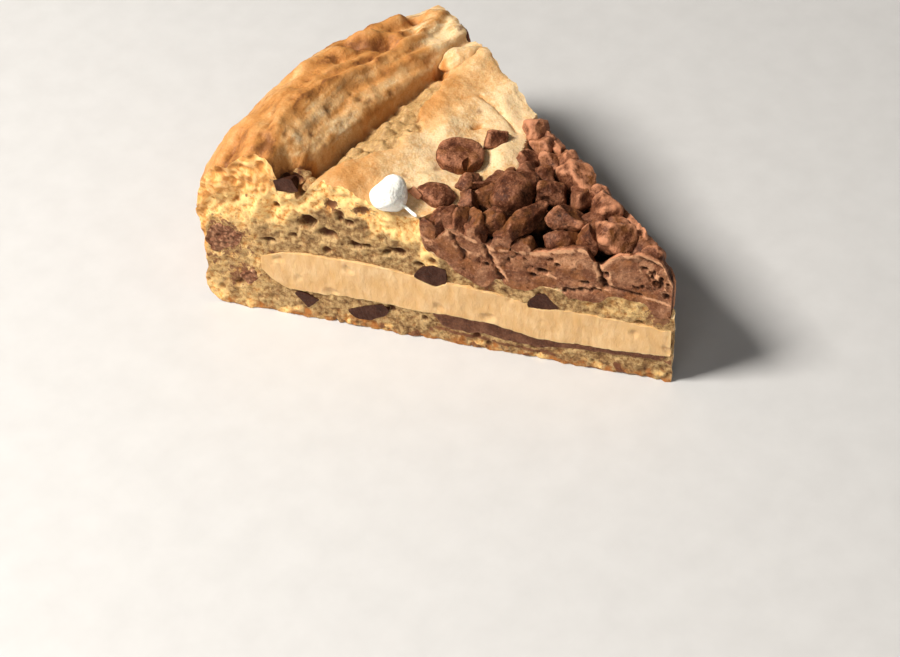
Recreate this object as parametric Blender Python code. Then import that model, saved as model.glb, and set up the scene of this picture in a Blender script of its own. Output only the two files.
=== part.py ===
"""A slice of stuffed cookie cake, cut from a round 23 cm cake into eight.

One cookie dough shell holds a level layer of cream: a base, an outer wall with a folded rim, and a top layer.
The top layer dips in the middle of the cake, and a heap of milk chocolate chunks fills the dip. A thin band of
chocolate lies under the cream, and single chips sit in the crumb at both cuts and on the top.

Metres, +Z up. The tip of the slice points to -Y, the near cut is on the -X side and the far cut on the +X side.
The origin is on the table, at the middle of the slice's bounding box. Places on the slice are given as a radius
from the cake's middle line and an angle in degrees from the slice's own middle line, positive toward the near cut.
"""

import math
import random

import bmesh
import bpy
from mathutils import Euler, Matrix, Vector, noise

MM = 0.001

# Driving dimensions
WALL_RADIUS = 112.9 * MM
TIP_RADIUS = 1.4 * MM
HALF_ANGLE = 21.6
LIP_HEIGHT = 28.0 * MM
BOTTOM_CORNER = 5.4 * MM
TIP_Y = -(TIP_RADIUS * math.cos(math.radians(HALF_ANGLE)) + WALL_RADIUS + 0.4 * MM) / 2
CLEARANCE = 0.35 * MM

# Height and radius of the main lines of the top, across the slice: (angle, value)
CREST_RADIUS = ((-21.6, 94.6), (-12, 95.0), (0, 96.0), (12, 96.5), (21.6, 95.1))
CREST_HEIGHT = ((-21.6, 45.2), (-14, 46.6), (-4, 48.2), (8, 48.4), (16, 48.6), (21.6, 47.2))
CREASE_RADIUS = ((-21.6, 80.8), (-14, 81.6), (0, 82.2), (12, 83.8), (21.6, 87.6))
CREASE_HEIGHT = ((-21.6, 42.2), (-12, 40.2), (0, 39.2), (12, 38.8), (21.6, 38.4))
PLATEAU_OUTER = ((-21.6, 44.2), (-14, 43.0), (-4, 41.6), (12, 41.4), (21.6, 42.6))
PLATEAU_INNER = ((-21.6, 38.6), (-12, 37.4), (0, 36.4), (12, 35.8), (21.6, 35.4))
HEAP_RADIUS = ((-21.6, 59.0), (-12.6, 52.0), (-5, 47.2), (1, 51.6), (8, 51.4), (15, 53.8), (21.6, 60.6))
HEAP_TOP = ((-21.6, 34.6), (0, 34.0), (21.6, 31.6))

DIP_FLOOR = 22.4 * MM
DIP_BANK = 17.0 * MM
TROUGH_WIDTH = 3.4 * MM

# The two halves of the folded rim meet in a groove that runs along it, and lumps of dough stand on the top:
# (start angle, start radius, end angle, end radius, half width, height), all but the angles in mm
RIM_FOLDS = (
    (7, 100.0, -16, 98.2, 2.6, -2.6),
    (3, 104.5, -6, 103.5, 3.4, 1.2),
    (-8, 103.5, -14, 101.5, 3.0, 1.4),
    (21.6, 102.0, 20, 102.5, 3.0, -1.4),
    (21.6, 108.0, 15, 107.5, 3.6, 0.9),
    (-21.6, 103.0, -17, 103.5, 4.0, -1.3),
    (21.6, 91.2, 19.6, 90.4, 1.9, -3.6),
    (16, 91.5, 9, 90.0, 3.2, 1.0),
    (-21.6, 84.0, -13, 83.6, 4.2, 2.0),
    (-21.6, 90.4, -16, 89.6, 1.8, -1.2),
    (-14, 62.0, -21, 66.0, 4.5, 0.9),
    (12, 70.0, -4, 71.0, 5.0, 0.6),
)

# The cream: its outer end, and its top and bottom along the radius (radius, height) in mm
CREAM_END = 98.4 * MM
CREAM_TOP = ((0, 15.5), (20, 16.3), (34, 16.5), (48, 18.0), (61, 18.7), (74, 20.0), (86, 19.8), (93, 19.0), (98.4, 17.0))
CREAM_BOTTOM = ((0, 8.4), (13, 7.2), (34, 6.8), (48, 7.0), (60, 8.3), (75, 9.1), (92, 8.2), (96.3, 10.6), (98.4, 13.6))
BAND_END = 57.2 * MM
BAND_START = 3.0 * MM
BAND_THICK = ((0, 1.2), (24, 1.5), (34, 1.9), (44, 2.5), (57.2, 2.2))

# Chunks of the heap: (radius, angle, height of the middle, length, tilt in degrees), mm
HEAP_CHUNKS = (
    (53.0, -18.6, 36.6, 9.5, 10), (47.6, -12.0, 36.6, 10.5, -20), (42.4, -19.4, 35.0, 11.0, 15),
    (39.0, -4.6, 36.8, 11.0, 25), (44.0, 5.8, 36.4, 12.5, 5), (33.8, 0.6, 36.2, 10.0, -15),
    (37.0, -13.4, 36.4, 12.0, 30), (29.6, -12.4, 34.8, 10.0, -10), (23.6, -5.4, 34.6, 10.0, 20),
    (28.2, 9.4, 34.8, 10.5, -25), (18.0, 6.6, 34.4, 11.0, 15), (16.4, -11.0, 32.6, 9.5, 5),
    (35.8, 14.2, 33.8, 10.5, 20), (43.4, 14.0, 33.8, 9.5, -15), (45.2, 19.8, 31.2, 9.5, 10),
    (51.4, 13.4, 34.0, 8.5, 25), (52.0, 21.0, 31.0, 8.5, -10), (36.0, 20.6, 29.6, 9.0, 0),
    (27.0, 20.0, 30.6, 11.0, 12), (11.6, -5.0, 31.2, 8.0, -12), (9.4, 13.0, 32.2, 9.5, 8),
    (50.6, 3.4, 35.4, 8.5, 18), (26.0, -19.2, 33.4, 10.5, -8), (47.2, -3.2, 35.4, 8.0, 12),
    (34.6, -20.2, 33.0, 9.5, 20), (22.6, 14.8, 33.0, 8.5, -20), (57.2, 20.6, 31.0, 7.0, 15),
    (55.0, -12.6, 36.4, 7.0, -15),
)

# Chips that lie on the top: name, radius, angle, height of the middle, half sizes, turn in degrees
TOP_CHIPS = (
    ("milk_chip_round", 59.6, 1.6, 38.2, (4.9, 5.0, 3.3), (12, -18, 20)),
    ("milk_chip_low", 54.0, 7.8, 36.8, (3.0, 2.6, 2.5), (20, 14, 40)),
    ("milk_chip_block", 57.0, -8.4, 38.2, (2.9, 3.2, 2.9), (30, 22, 15)),
    ("milk_chip_flat", 58.4, 15.2, 37.2, (4.2, 2.9, 2.4), (-18, 16, 70)),
    ("white_chip", 67.6, 18.2, 39.4, (4.9, 5.2, 4.3), (8, -10, 25)),
)

# Chips that the knife cut through: name, radius, height, half length, half height, tilt in degrees, side
# (the side is 1 for the near cut and -1 for the far one)
CUT_CHIPS = (
    ("dark_chip_near_1", 57.4, 20.2, 4.2, 2.8, -8, 1),
    ("dark_chip_near_2", 31.2, 18.2, 3.8, 2.3, -12, 1),
    ("dark_chip_near_3", 88.2, 5.2, 3.2, 1.9, -20, 1),
    ("dark_chip_near_4", 72.2, 5.0, 4.3, 2.5, 4, 1),
    ("dark_chip_near_5", 90.8, 39.4, 2.9, 2.4, -10, 1),
    ("milk_chip_near_1", 108.6, 19.6, 4.6, 4.4, 25, 1),
    ("milk_chip_near_2", 102.6, 9.6, 3.2, 2.6, -10, 1),
    ("dark_chip_far_1", 91.6, 41.6, 2.8, 2.0, 12, -1),
    ("dark_chip_far_2", 64.0, 21.4, 3.9, 2.6, 15, -1),
    ("dark_chip_far_3", 79.0, 4.8, 3.9, 2.3, -6, -1),
    ("dark_chip_far_4", 24.6, 19.0, 3.4, 2.2, 10, -1),
    ("dark_chip_far_5", 63.4, 3.8, 3.1, 1.8, 6, -1),
    ("milk_chip_far_1", 105.4, 28.4, 4.2, 3.6, -20, -1),
    ("milk_chip_far_2", 84.0, 30.6, 3.8, 3.0, 30, -1),
)

COLOURS = {
    "cookie": ((0.60, 0.36, 0.16), 0.75),
    "cream": ((0.80, 0.58, 0.31), 0.50),
    "milk": ((0.20, 0.08, 0.045), 0.55),
    "dark": ((0.045, 0.018, 0.014), 0.50),
    "white": ((0.86, 0.78, 0.62), 0.35),
}


def clear_scene():
    """Remove what the file starts with."""
    for item in list(bpy.data.objects):
        bpy.data.objects.remove(item)


def material(name):
    """The finish of this name, made once."""
    found = bpy.data.materials.get(name)
    if found:
        return found
    colour, roughness = COLOURS[name]
    made = bpy.data.materials.new(name)
    made.use_nodes = True
    shader = made.node_tree.nodes["Principled BSDF"]
    shader.inputs["Base Color"].default_value = (*colour, 1.0)
    shader.inputs["Roughness"].default_value = roughness
    shader.inputs["Metallic"].default_value = 0.0
    return made


def collection(name):
    """A collection of this name in the scene."""
    made = bpy.data.collections.new(name)
    bpy.context.scene.collection.children.link(made)
    return made


def at(table, where):
    """Straight-line value of a table of (place, value) at a place."""
    if where <= table[0][0]:
        return table[0][1]
    for (low, first), (high, second) in zip(table, table[1:]):
        if where <= high:
            return first + (second - first) * (where - low) / (high - low)
    return table[-1][1]


def smooth(share):
    """Ease a share from 0 to 1 with level ends."""
    share = min(1.0, max(0.0, share))
    return share * share * (3 - 2 * share)


def polar(radius, angle, height):
    """The point at a radius, an angle in degrees and a height."""
    turn = math.radians(angle)
    return Vector((-radius * math.sin(turn), TIP_Y + radius * math.cos(turn), height))


def lumps(radius, angle, height, size, depth):
    """Uneven relief: soft noise at two sizes."""
    point = polar(radius, angle, height)
    coarse = noise.noise(point / size)
    fine = noise.noise(point / (0.45 * size) + Vector((7.0, 3.0, 5.0)))
    return depth * (coarse + 0.6 * fine)


def folds(radius, angle):
    """Ridges and grooves that run along straight lines of radius over angle, with rounded ends."""
    total = 0.0
    for start, start_radius, end, end_radius, width, height in RIM_FOLDS:
        share = (angle - start) / (end - start)
        inside = min(1.0, max(0.0, share))
        line = start_radius + (end_radius - start_radius) * inside
        beyond = abs(share - inside) * abs(end - start) * math.radians(1) * start_radius
        away = math.hypot(radius / MM - line, beyond) / width
        total += height * MM * math.exp(-away * away)
    return total


def top_height(radius, angle):
    """Height of the dough's top, without its relief.

    Outside the crest it is a quarter ellipse down to the lip. Inside it, a rounded flank falls to the crease,
    the level top layer slopes down to the heap, and a bank leads to the floor of the dip.
    """
    crest_radius = at(CREST_RADIUS, angle) * MM
    crest = at(CREST_HEIGHT, angle) * MM
    crease_radius = at(CREASE_RADIUS, angle) * MM
    crease = at(CREASE_HEIGHT, angle) * MM
    heap_radius = at(HEAP_RADIUS, angle) * MM
    if radius >= crest_radius:
        share = min(1.0, (radius - crest_radius) / (WALL_RADIUS - crest_radius))
        return LIP_HEIGHT + (crest - LIP_HEIGHT) * math.sqrt(1 - share * share)
    if radius >= crease_radius:
        share = (crest_radius - radius) / (crest_radius - crease_radius)
        return crease + (crest - crease) * (1 - share ** 2.0) ** 0.75
    outer = at(PLATEAU_OUTER, angle) * MM
    inner = at(PLATEAU_INNER, angle) * MM
    if radius >= heap_radius:
        share = (radius - heap_radius) / (crease_radius - heap_radius)
        level = inner + (outer - inner) * smooth(share * 1.15)
        fall = math.exp(-((crease_radius - radius) / TROUGH_WIDTH) ** 2)
        return level + (crease - level) * fall
    share = (radius - heap_radius + DIP_BANK) / DIP_BANK
    return DIP_FLOOR + (inner - DIP_FLOOR) * smooth(share)


def dough_top(radius, angle):
    """Height of the dough's top with its folds, wrinkles and crumbs."""
    height = top_height(radius, angle)
    dip = smooth((radius - at(HEAP_RADIUS, angle) * MM + DIP_BANK) / DIP_BANK)
    edge = smooth((WALL_RADIUS - radius) / (3 * MM))
    relief = lumps(radius, angle, 0, 9 * MM, 0.9 * MM)
    return height + (folds(radius, angle) + relief) * dip * edge


def dough_bottom(radius):
    """Height of the underside: flat, with a rounded outer corner."""
    share = (radius - WALL_RADIUS + BOTTOM_CORNER) / BOTTOM_CORNER
    if share <= 0:
        return 0.0
    return BOTTOM_CORNER * (1 - math.sqrt(max(0.0, 1 - share * share)))


def wall_bulge(angle, height):
    """How far the baked wall stands in or out of its radius."""
    band = smooth((height - BOTTOM_CORNER) / (4 * MM)) * smooth((LIP_HEIGHT + 6 * MM - height) / (8 * MM))
    belt = 0.5 * MM * math.sin(height / (3.6 * MM))
    return band * (belt - 0.5 * MM + lumps(WALL_RADIUS, angle, height, 7 * MM, 0.9 * MM))


def steps(*runs):
    """Stations from 0 to 1 for runs of (end, count), without the first and the last."""
    found = []
    start = 0.0
    for end, count in runs:
        found += [start + (end - start) * (i + 1) / count for i in range(count)]
        start = end
    return found[:-1]


def block(name, home, finish, along, across, upward, place):
    """A primitive cube, sliced at stations along three sides, with each corner then put in place.

    The corner at (u, v, w) of the unit cube goes to place(u, v, w). Every face is split alike.
    """
    form = bmesh.new()
    bmesh.ops.create_cube(form, size=1.0, matrix=Matrix.Translation((0.5, 0.5, 0.5)))
    for axis, stations in enumerate((along, across, upward)):
        normal = Vector((0, 0, 0))
        normal[axis] = 1.0
        for station in stations:
            geometry = form.verts[:] + form.edges[:] + form.faces[:]
            bmesh.ops.bisect_plane(form, geom=geometry, plane_co=normal * station, plane_no=normal)
    bmesh.ops.triangulate(form, faces=form.faces[:], quad_method="FIXED")
    for corner in form.verts:
        corner.co = place(*corner.co)
    return thing(name, home, finish, form)


def thing(name, home, finish, form):
    """An object of this mesh, in its collection, with its finish."""
    mesh = bpy.data.meshes.new(name)
    form.to_mesh(mesh)
    form.free()
    made = bpy.data.objects.new(name, mesh)
    made.data.materials.append(material(finish))
    home.objects.link(made)
    return made


def cutter(made):
    """Keep a tool shape out of the finished part."""
    made.hide_render = True
    made.display_type = "WIRE"
    return made


def apply(target):
    """Make the target's modifiers part of its mesh, with every face split into triangles."""
    graph = bpy.context.evaluated_depsgraph_get()
    mesh = bpy.data.meshes.new_from_object(target.evaluated_get(graph))
    target.modifiers.clear()
    form = bmesh.new()
    form.from_mesh(mesh)
    bmesh.ops.triangulate(form, faces=form.faces[:])
    form.to_mesh(mesh)
    form.free()
    target.data = mesh


def combine(target, operation, tools):
    """Boolean the target with each tool in turn and apply it.

    The exact solver leaves open edges on these closely faceted forms, so the manifold one is used.
    """
    for tool in tools:
        step = target.modifiers.new(tool.name, "BOOLEAN")
        step.operation = operation
        step.solver = "MANIFOLD"
        step.object = tool
        apply(target)


def dough_radius(share, angle):
    """Radius for a share along the slice: stations follow the heap's edge, the crease and the crest."""
    heap = at(HEAP_RADIUS, angle) * MM
    marks = ((0.0, TIP_RADIUS), (0.2, heap - DIP_BANK), (0.42, heap), (0.62, at(CREASE_RADIUS, angle) * MM),
             (0.78, at(CREST_RADIUS, angle) * MM))
    if share <= marks[-1][0]:
        return at(marks, share)
    turn = (share - marks[-1][0]) / (1 - marks[-1][0]) * math.pi / 2
    return marks[-1][1] + (WALL_RADIUS - marks[-1][1]) * math.sin(turn)


def make_cookie(home):
    """The dough shell before its hollow is cut: base, wall, rim and top layer in one."""

    def place(u, v, w):
        angle = HALF_ANGLE * (2 * v - 1)
        radius = dough_radius(u, angle)
        low = dough_bottom(radius)
        height = low + (dough_top(radius, angle) - low) * w
        if u > 0.999:
            radius += wall_bulge(angle, height)
        return polar(radius, angle, height)

    along = steps((0.2, 4), (0.42, 6), (0.62, 7), (0.78, 6), (1.0, 7))
    return block("cookie", home, "cookie", along, steps((1, 18)), steps((1, 8)), place)


def make_keep_out(home):
    """The room that the dough's top takes, raised by the clearance: what lies on it is trimmed by this."""

    def place(u, v, w):
        angle = HALF_ANGLE * (2 * v - 1)
        radius = dough_radius(u, angle)
        height = -10 * MM if w < 0.5 else dough_top(radius, angle) + CLEARANCE
        return polar(radius, angle, height)

    along = steps((0.2, 4), (0.42, 6), (0.62, 7), (0.78, 6), (1.0, 7))
    return cutter(block("dough_keep_out", home, "cookie", along, steps((1, 18)), (), place))


def make_wedge(home):
    """The whole slice's room between the knife's two cuts."""

    def place(u, v, w):
        radius = 0.3 * MM if u < 0.5 else 2 * WALL_RADIUS
        return polar(radius, HALF_ANGLE * (2 * v - 1), (-10 + 90 * w) * MM)

    return cutter(block("knife_wedge", home, "cookie", (), (), (), place))


def make_cream(name, home, grow=0.0):
    """The layer of cream, with a rounded outer end; grown, it is the tool that hollows the dough."""
    spread = HALF_ANGLE + (3.0 if grow else 0.0)

    def place(u, v, w):
        angle = spread * (2 * v - 1)
        radius = TIP_RADIUS + 0.4 * MM + (CREAM_END - TIP_RADIUS - 0.4 * MM) * u
        middle = radius / MM
        sway = lumps(radius, angle, 0, 22 * MM, 0.7 * MM)
        low = at(CREAM_BOTTOM, middle) * MM + sway
        high = at(CREAM_TOP, middle) * MM + sway
        height = low - grow + (high - low + 2 * grow) * w
        if u > 0.999:
            radius += grow
        if grow and u < 0.001:
            radius = TIP_RADIUS - 6 * MM
            angle = angle * -1
        return polar(radius, angle, height)

    along = steps((0.9, 15), (1.0, 4))
    return block(name, home, "cream", along, steps((1, 8)), (0.35, 0.7), place)


def make_band(name, home, grow=0.0):
    """The thin chocolate band right under the cream; grown, it deepens the hollow."""
    spread = HALF_ANGLE + (3.0 if grow else 0.0)

    def place(u, v, w):
        angle = spread * (2 * v - 1)
        radius = BAND_START - grow + (BAND_END - BAND_START + 2 * grow) * u
        middle = radius / MM
        sway = lumps(radius, angle, 0, 22 * MM, 0.7 * MM)
        high = at(CREAM_BOTTOM, middle) * MM + sway - CLEARANCE
        low = high - at(BAND_THICK, middle) * MM
        if grow:
            high += 2 * MM
            low -= grow
        return polar(radius, angle, low + (high - low) * w)

    return block(name, home, "milk", steps((1, 12)), steps((1, 8)), (), place)


def make_chip(name, home, finish, centre, half, turn, grow=0.0):
    """A chip or chunk: a sphere of flat facets, squared off, scaled and turned, with a few worn corners."""
    form = bmesh.new()
    bmesh.ops.create_icosphere(form, subdivisions=2, radius=1.0)
    draw = random.Random(name)
    shift = Vector((draw.uniform(0, 50), draw.uniform(0, 50), draw.uniform(0, 50)))
    matrix = Euler([math.radians(a) for a in turn]).to_matrix()
    for corner in form.verts:
        way = corner.co.normalized()
        squared = 1 / sum(abs(part) ** 3.4 for part in way) ** (1 / 3.4)
        worn = 1 + 0.22 * noise.noise(way * 1.3 + shift)
        reach = Vector([way[i] * squared * worn * half[i] for i in range(3)])
        corner.co = matrix @ (reach + way * grow) + centre
    return thing(name, home, finish, form)


def make_heap(home, tools, wedge, keep_out):
    """The heap of chocolate: a layer in the dip with chunks fused on, cut by the knife and laid on the dough."""

    def place(u, v, w):
        angle = (HALF_ANGLE + 4) * (2 * v - 1)
        reach = at(HEAP_RADIUS, angle) * MM - 1.5 * MM
        radius = 2.6 * MM + (reach - 2.6 * MM) * u
        tip = 2.0 * MM * smooth(1 - radius / (8 * MM))
        high = at(HEAP_TOP, angle) * MM - tip + lumps(radius, angle, 0, 8 * MM, 1.6 * MM)
        return polar(radius, angle, high if w > 0.5 else 12 * MM)

    heap = block("chocolate_heap", home, "milk", steps((1, 12)), steps((1, 8)), (), place)
    chunks = []
    for number, (radius, angle, height, length, tilt) in enumerate(HEAP_CHUNKS):
        draw = random.Random(number)
        half = [length * MM * share for share in (0.5, draw.uniform(0.36, 0.46), draw.uniform(0.34, 0.42))]
        turn = (tilt, draw.uniform(-20, 20), draw.uniform(-60, 60))
        place_at = polar(radius * MM, angle, height * MM)
        chunks.append(make_chip(f"chunk_{number:02d}", tools, "milk", place_at, half, turn))
    pile = bpy.data.collections.new("chunks")
    for chunk in chunks:
        pile.objects.link(chunk)
    step = heap.modifiers.new("union", "BOOLEAN")
    step.operation = "UNION"
    step.solver = "MANIFOLD"
    step.operand_type = "COLLECTION"
    step.collection = pile
    apply(heap)
    combine(heap, "INTERSECT", [wedge])
    combine(heap, "DIFFERENCE", [keep_out])
    for chunk in chunks:
        bpy.data.objects.remove(chunk)
    bpy.data.collections.remove(pile)
    return heap


def keep_largest(target):
    """Drop loose scraps that a cut has left, all but the largest body."""
    form = bmesh.new()
    form.from_mesh(target.data)
    left = set(form.verts)
    bodies = []
    while left:
        start = left.pop()
        body = {start}
        edge = [start]
        while edge:
            corner = edge.pop()
            for line in corner.link_edges:
                other = line.other_vert(corner)
                if other in left:
                    left.discard(other)
                    body.add(other)
                    edge.append(other)
        bodies.append(body)
    bodies.sort(key=len)
    for body in bodies[:-1]:
        bmesh.ops.delete(form, geom=list(body), context="VERTS")
    form.to_mesh(target.data)
    form.free()


def close_short_edges(target, shortest=0.003 * MM):
    """Merge the ends of the tiny edges that cuts leave, where that keeps the surface whole."""
    form = bmesh.new()
    form.from_mesh(target.data)
    merged = True
    while merged:
        merged = False
        for line in form.edges:
            if line.calc_length() > shortest:
                continue
            first, second = line.verts
            around_first = {other.other_vert(first) for other in first.link_edges}
            around_second = {other.other_vert(second) for other in second.link_edges}
            if len(around_first & around_second) == 2:
                bmesh.ops.pointmerge(form, verts=[first, second], merge_co=first.co)
                merged = True
                break
    form.to_mesh(target.data)
    form.free()


def main():
    """Build the slice."""
    clear_scene()
    home = collection("cookie_cake_slice")
    tools = collection("cutters")
    wedge = make_wedge(tools)
    keep_out = make_keep_out(tools)
    cookie = make_cookie(home)
    cream = make_cream("cream_filling", home)
    band = make_band("chocolate_band", home)
    heap = make_heap(home, tools, wedge, keep_out)
    combine(cookie, "DIFFERENCE", [
        cutter(make_cream("cream_room", tools, CLEARANCE)),
        cutter(make_band("band_room", tools, CLEARANCE)),
    ])
    for name, radius, angle, height, half, turn in TOP_CHIPS:
        finish = name.split("_")[0]
        centre = polar(radius * MM, angle, height * MM)
        size = [side * MM for side in half]
        chip = make_chip(name, home, finish, centre, size, turn)
        room = cutter(make_chip(name, tools, finish, centre, size, turn, CLEARANCE))
        combine(chip, "INTERSECT", [wedge])
        combine(cookie, "DIFFERENCE", [room])
        combine(heap, "DIFFERENCE", [room])
    for name, radius, height, length, tall, tilt, side in CUT_CHIPS:
        finish = name.split("_")[0]
        centre = polar(radius * MM, HALF_ANGLE * side, height * MM)
        size = (3.2 * MM, length * MM, tall * MM)
        turn = (tilt, 0, HALF_ANGLE * side)
        chip = make_chip(name, home, finish, centre, size, turn)
        room = cutter(make_chip(name, tools, finish, centre, size, turn, CLEARANCE))
        combine(chip, "INTERSECT", [wedge])
        combine(cookie, "DIFFERENCE", [room])
        combine(cream, "DIFFERENCE", [room])
    for piece in (cookie, cream, heap):
        keep_largest(piece)
        close_short_edges(piece)


main()
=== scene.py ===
"""The looks of a slice of stuffed cookie cake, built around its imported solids.

The shell of baked dough, the cream, the chocolate band, the heap of broken milk chocolate and every chip are
modelled again in fine detail inside the space of the solid that each one replaces, then given their finishes.

Shapes are worked out in millimetres as whole numpy arrays and written to the meshes in metres. A place on the
slice is a radius from the cake's middle line, an angle in degrees from the slice's own middle line, positive
toward the near cut, and a height over the table.
"""

import logging
import math
from dataclasses import dataclass
from enum import Enum
from functools import partial
from typing import Callable, Sequence

import bpy
import numpy as np
from mathutils import Euler, Matrix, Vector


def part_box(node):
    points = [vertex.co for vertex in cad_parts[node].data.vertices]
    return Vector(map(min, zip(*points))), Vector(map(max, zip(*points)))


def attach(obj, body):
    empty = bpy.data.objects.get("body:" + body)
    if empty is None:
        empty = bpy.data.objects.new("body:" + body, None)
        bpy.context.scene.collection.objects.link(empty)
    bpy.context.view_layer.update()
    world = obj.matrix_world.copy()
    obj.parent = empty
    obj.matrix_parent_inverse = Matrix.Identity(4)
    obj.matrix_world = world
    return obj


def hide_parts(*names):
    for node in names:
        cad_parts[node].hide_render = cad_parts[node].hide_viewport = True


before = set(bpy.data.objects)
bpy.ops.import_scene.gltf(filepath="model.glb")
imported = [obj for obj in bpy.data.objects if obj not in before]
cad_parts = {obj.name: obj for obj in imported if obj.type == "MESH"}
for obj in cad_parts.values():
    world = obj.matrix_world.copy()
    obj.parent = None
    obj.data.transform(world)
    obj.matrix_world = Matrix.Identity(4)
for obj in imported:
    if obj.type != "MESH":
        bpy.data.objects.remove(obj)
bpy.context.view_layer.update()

Array = np.ndarray
Material = bpy.types.Material
Mesh = bpy.types.Mesh
Object = bpy.types.Object
Socket = bpy.types.NodeSocket
Triple = tuple[float, float, float]
Table = tuple[tuple[float, ...], ...]
Pair = tuple[Array, Array]
PairAt = Callable[[Array, Array], Pair]
Dressed = tuple[Object, str, str]
Finishes = dict[str, Material]

# SNUG is the gap between a piece and its room, and VIEW_TURN turns a chunk's first side to the main view.
LOG = logging.getLogger("cookie_cake_slice")
MM = 0.001
HALF_ANGLE = 21.6
WALL_RADIUS = 112.9
TIP_RADIUS = 1.4
AXIS_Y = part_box("cookie")[0].y / MM - TIP_RADIUS * math.cos(math.radians(HALF_ANGLE))
SNUG = 0.03
VIEW_TURN = -52.5
TOOL_REACH = 260.0
TOOL_MARGIN = 8.0


class Side(Enum):
    """The knife's two cuts: the near one shows in the main view."""

    NEAR = 1
    FAR = -1


class Cut(Enum):
    """What one body does to another where they meet."""

    TAKE_AWAY = "DIFFERENCE"
    KEEP_COMMON = "INTERSECT"
    FUSE = "UNION"


def mixed(cells: Array, seed: int) -> Array:
    """Scrambled whole numbers for whole-number cells.

    Args:
        cells: whole numbers, the last axis of length 3.
        seed: picks one of many patterns.

    Returns:
        One number for each cell: the three numbers times large odd numbers, folded and multiplied twice.
    """
    x, y, z = (cells[..., axis].astype(np.int64).astype(np.uint32) for axis in range(3))
    code = x * np.uint32(374761393) ^ y * np.uint32(668265263) ^ z * np.uint32(2246822519)
    code = code ^ np.uint32(seed * 97 + 13)
    code = (code ^ (code >> np.uint32(15))) * np.uint32(2246822519)
    code = (code ^ (code >> np.uint32(13))) * np.uint32(3266489917)
    return code ^ (code >> np.uint32(16))


def lanes(code: Array) -> Array:
    """Three even random values from 0 to 1 out of each scrambled number."""
    parts = [(code >> np.uint32(shift)) & np.uint32(1023) for shift in (0, 10, 20)]
    return np.stack(parts, -1).astype(float) / 1023.0


def rippled(points: Array, size: float, seed: int = 0) -> Array:
    """Soft noise, about -1 to 1: at each corner of a cubic lattice a random slope, blended between corners.

    Args:
        points: places, the last axis of length 3, in mm.
        size: width of a lump, in mm.
        seed: picks one of many patterns.

    Returns:
        The noise at each place.
    """
    where = points / size + 31.7 + 0.37 * seed
    cell = np.floor(where)
    inside = where - cell
    ease = inside**3 * (inside * (inside * 6 - 15) + 10)
    total = np.zeros(points.shape[:-1])
    for corner in np.ndindex(2, 2, 2):
        step = np.array(corner, float)
        slope = lanes(mixed(cell + step, seed)) * 2 - 1
        weight = np.prod(np.where(step > 0, ease, 1 - ease), axis=-1)
        total += weight * ((inside - step) * slope).sum(-1)
    return total * 1.5


def layered(points: Array, size: float, seed: int = 0, layers: int = 3) -> Array:
    """Sum of soft noise at halving sizes and strengths."""
    total = np.zeros(points.shape[:-1])
    for layer in range(layers):
        total += 0.5**layer * rippled(points, size * 0.5**layer, seed + layer)
    return total


def grains(points: Array, size: float, seed: int = 0) -> tuple[Array, Array, Array]:
    """Distance to scattered points, one in each cell of a cubic lattice.

    Args:
        points: places, the last axis of length 3, in mm.
        size: width of a cell, in mm.
        seed: picks one of many patterns.

    Returns:
        The distances to the nearest and second nearest point, in cells, and the nearest one's random value.
    """
    where = points / size + 57.3
    cell = np.floor(where)
    near = np.full(points.shape[:-1], 9.0)
    second = near.copy()
    own = np.zeros(points.shape[:-1])
    for shift in np.ndindex(3, 3, 3):
        home = cell + np.array(shift, float) - 1
        code = mixed(home, seed + 101)
        away = np.linalg.norm(where - home - lanes(code), axis=-1)
        closer = away < near
        second = np.where(closer, near, np.minimum(second, away))
        own = np.where(closer, lanes(code)[..., 0], own)
        near = np.where(closer, away, near)
    return near, second, own


def smooth(share: Array) -> Array:
    """Ease a share from 0 to 1 with level ends."""
    share = np.clip(share, 0.0, 1.0)
    return share * share * (3 - 2 * share)


def bell(away: Array) -> Array:
    """A bell of height 1 and half width 1."""
    return np.exp(-np.minimum(away * away, 50.0))


def spot(across: Array, up: Array, at: float, level: float, half_width: float, half_height: float) -> Array:
    """A bell over an ellipse in two measures."""
    return bell(np.hypot((across - at) / half_width, (up - level) / half_height))


def beside(flat: Array, first: Array, last: Array, width: float) -> Array:
    """A bell of the distance from places to the line between two others, over the half width."""
    way = last - first
    share = np.clip(((flat - first) @ way) / (way @ way), 0.0, 1.0)
    return bell(np.linalg.norm(flat - first - share[..., None] * way, axis=-1) / width)


def along(table: Table, where: Array, round_off: float = 1.5) -> Array:
    """Value of a table of (place, value) at a place, its corners rounded off by the mean of five places."""
    places, values = np.array(table, float).T
    shares = (-1.0, -0.5, 0.0, 0.5, 1.0)
    return np.mean([np.interp(where + round_off * share, places, values) for share in shares], axis=0)


def polar(radius: Array, angle: Array, height: Array) -> Array:
    """Points, in mm, for radii, angles in degrees and heights."""
    radius, angle, height = np.broadcast_arrays(radius, np.radians(angle), height)
    return np.stack([-radius * np.sin(angle), AXIS_Y + radius * np.cos(angle), height], -1).astype(float)


def unpolar(points: Array) -> tuple[Array, Array, Array]:
    """Radii, angles in degrees and heights of points in mm."""
    east = -points[..., 0]
    north = points[..., 1] - AXIS_Y
    return np.hypot(east, north), np.degrees(np.arctan2(east, north)), points[..., 2]


def close_to(points: Array, place: Triple, size: float) -> Array:
    """A bell of the distance from points to a place, given as radius, angle and height."""
    return bell(np.linalg.norm(points - polar(*place), axis=-1) / size)


def on_face(radius: Array, height: Array, layer: float) -> Array:
    """Places for the noise on a cut face; the layer picks one of many patterns."""
    return np.stack([radius, np.full(radius.shape, layer), height], -1)


def quads_of(index: Array) -> Array:
    """The four corner numbers of each field in a sheet of numbered corners."""
    return np.stack([index[:-1, :-1], index[1:, :-1], index[1:, 1:], index[:-1, 1:]], -1).reshape(-1, 4)


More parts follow.
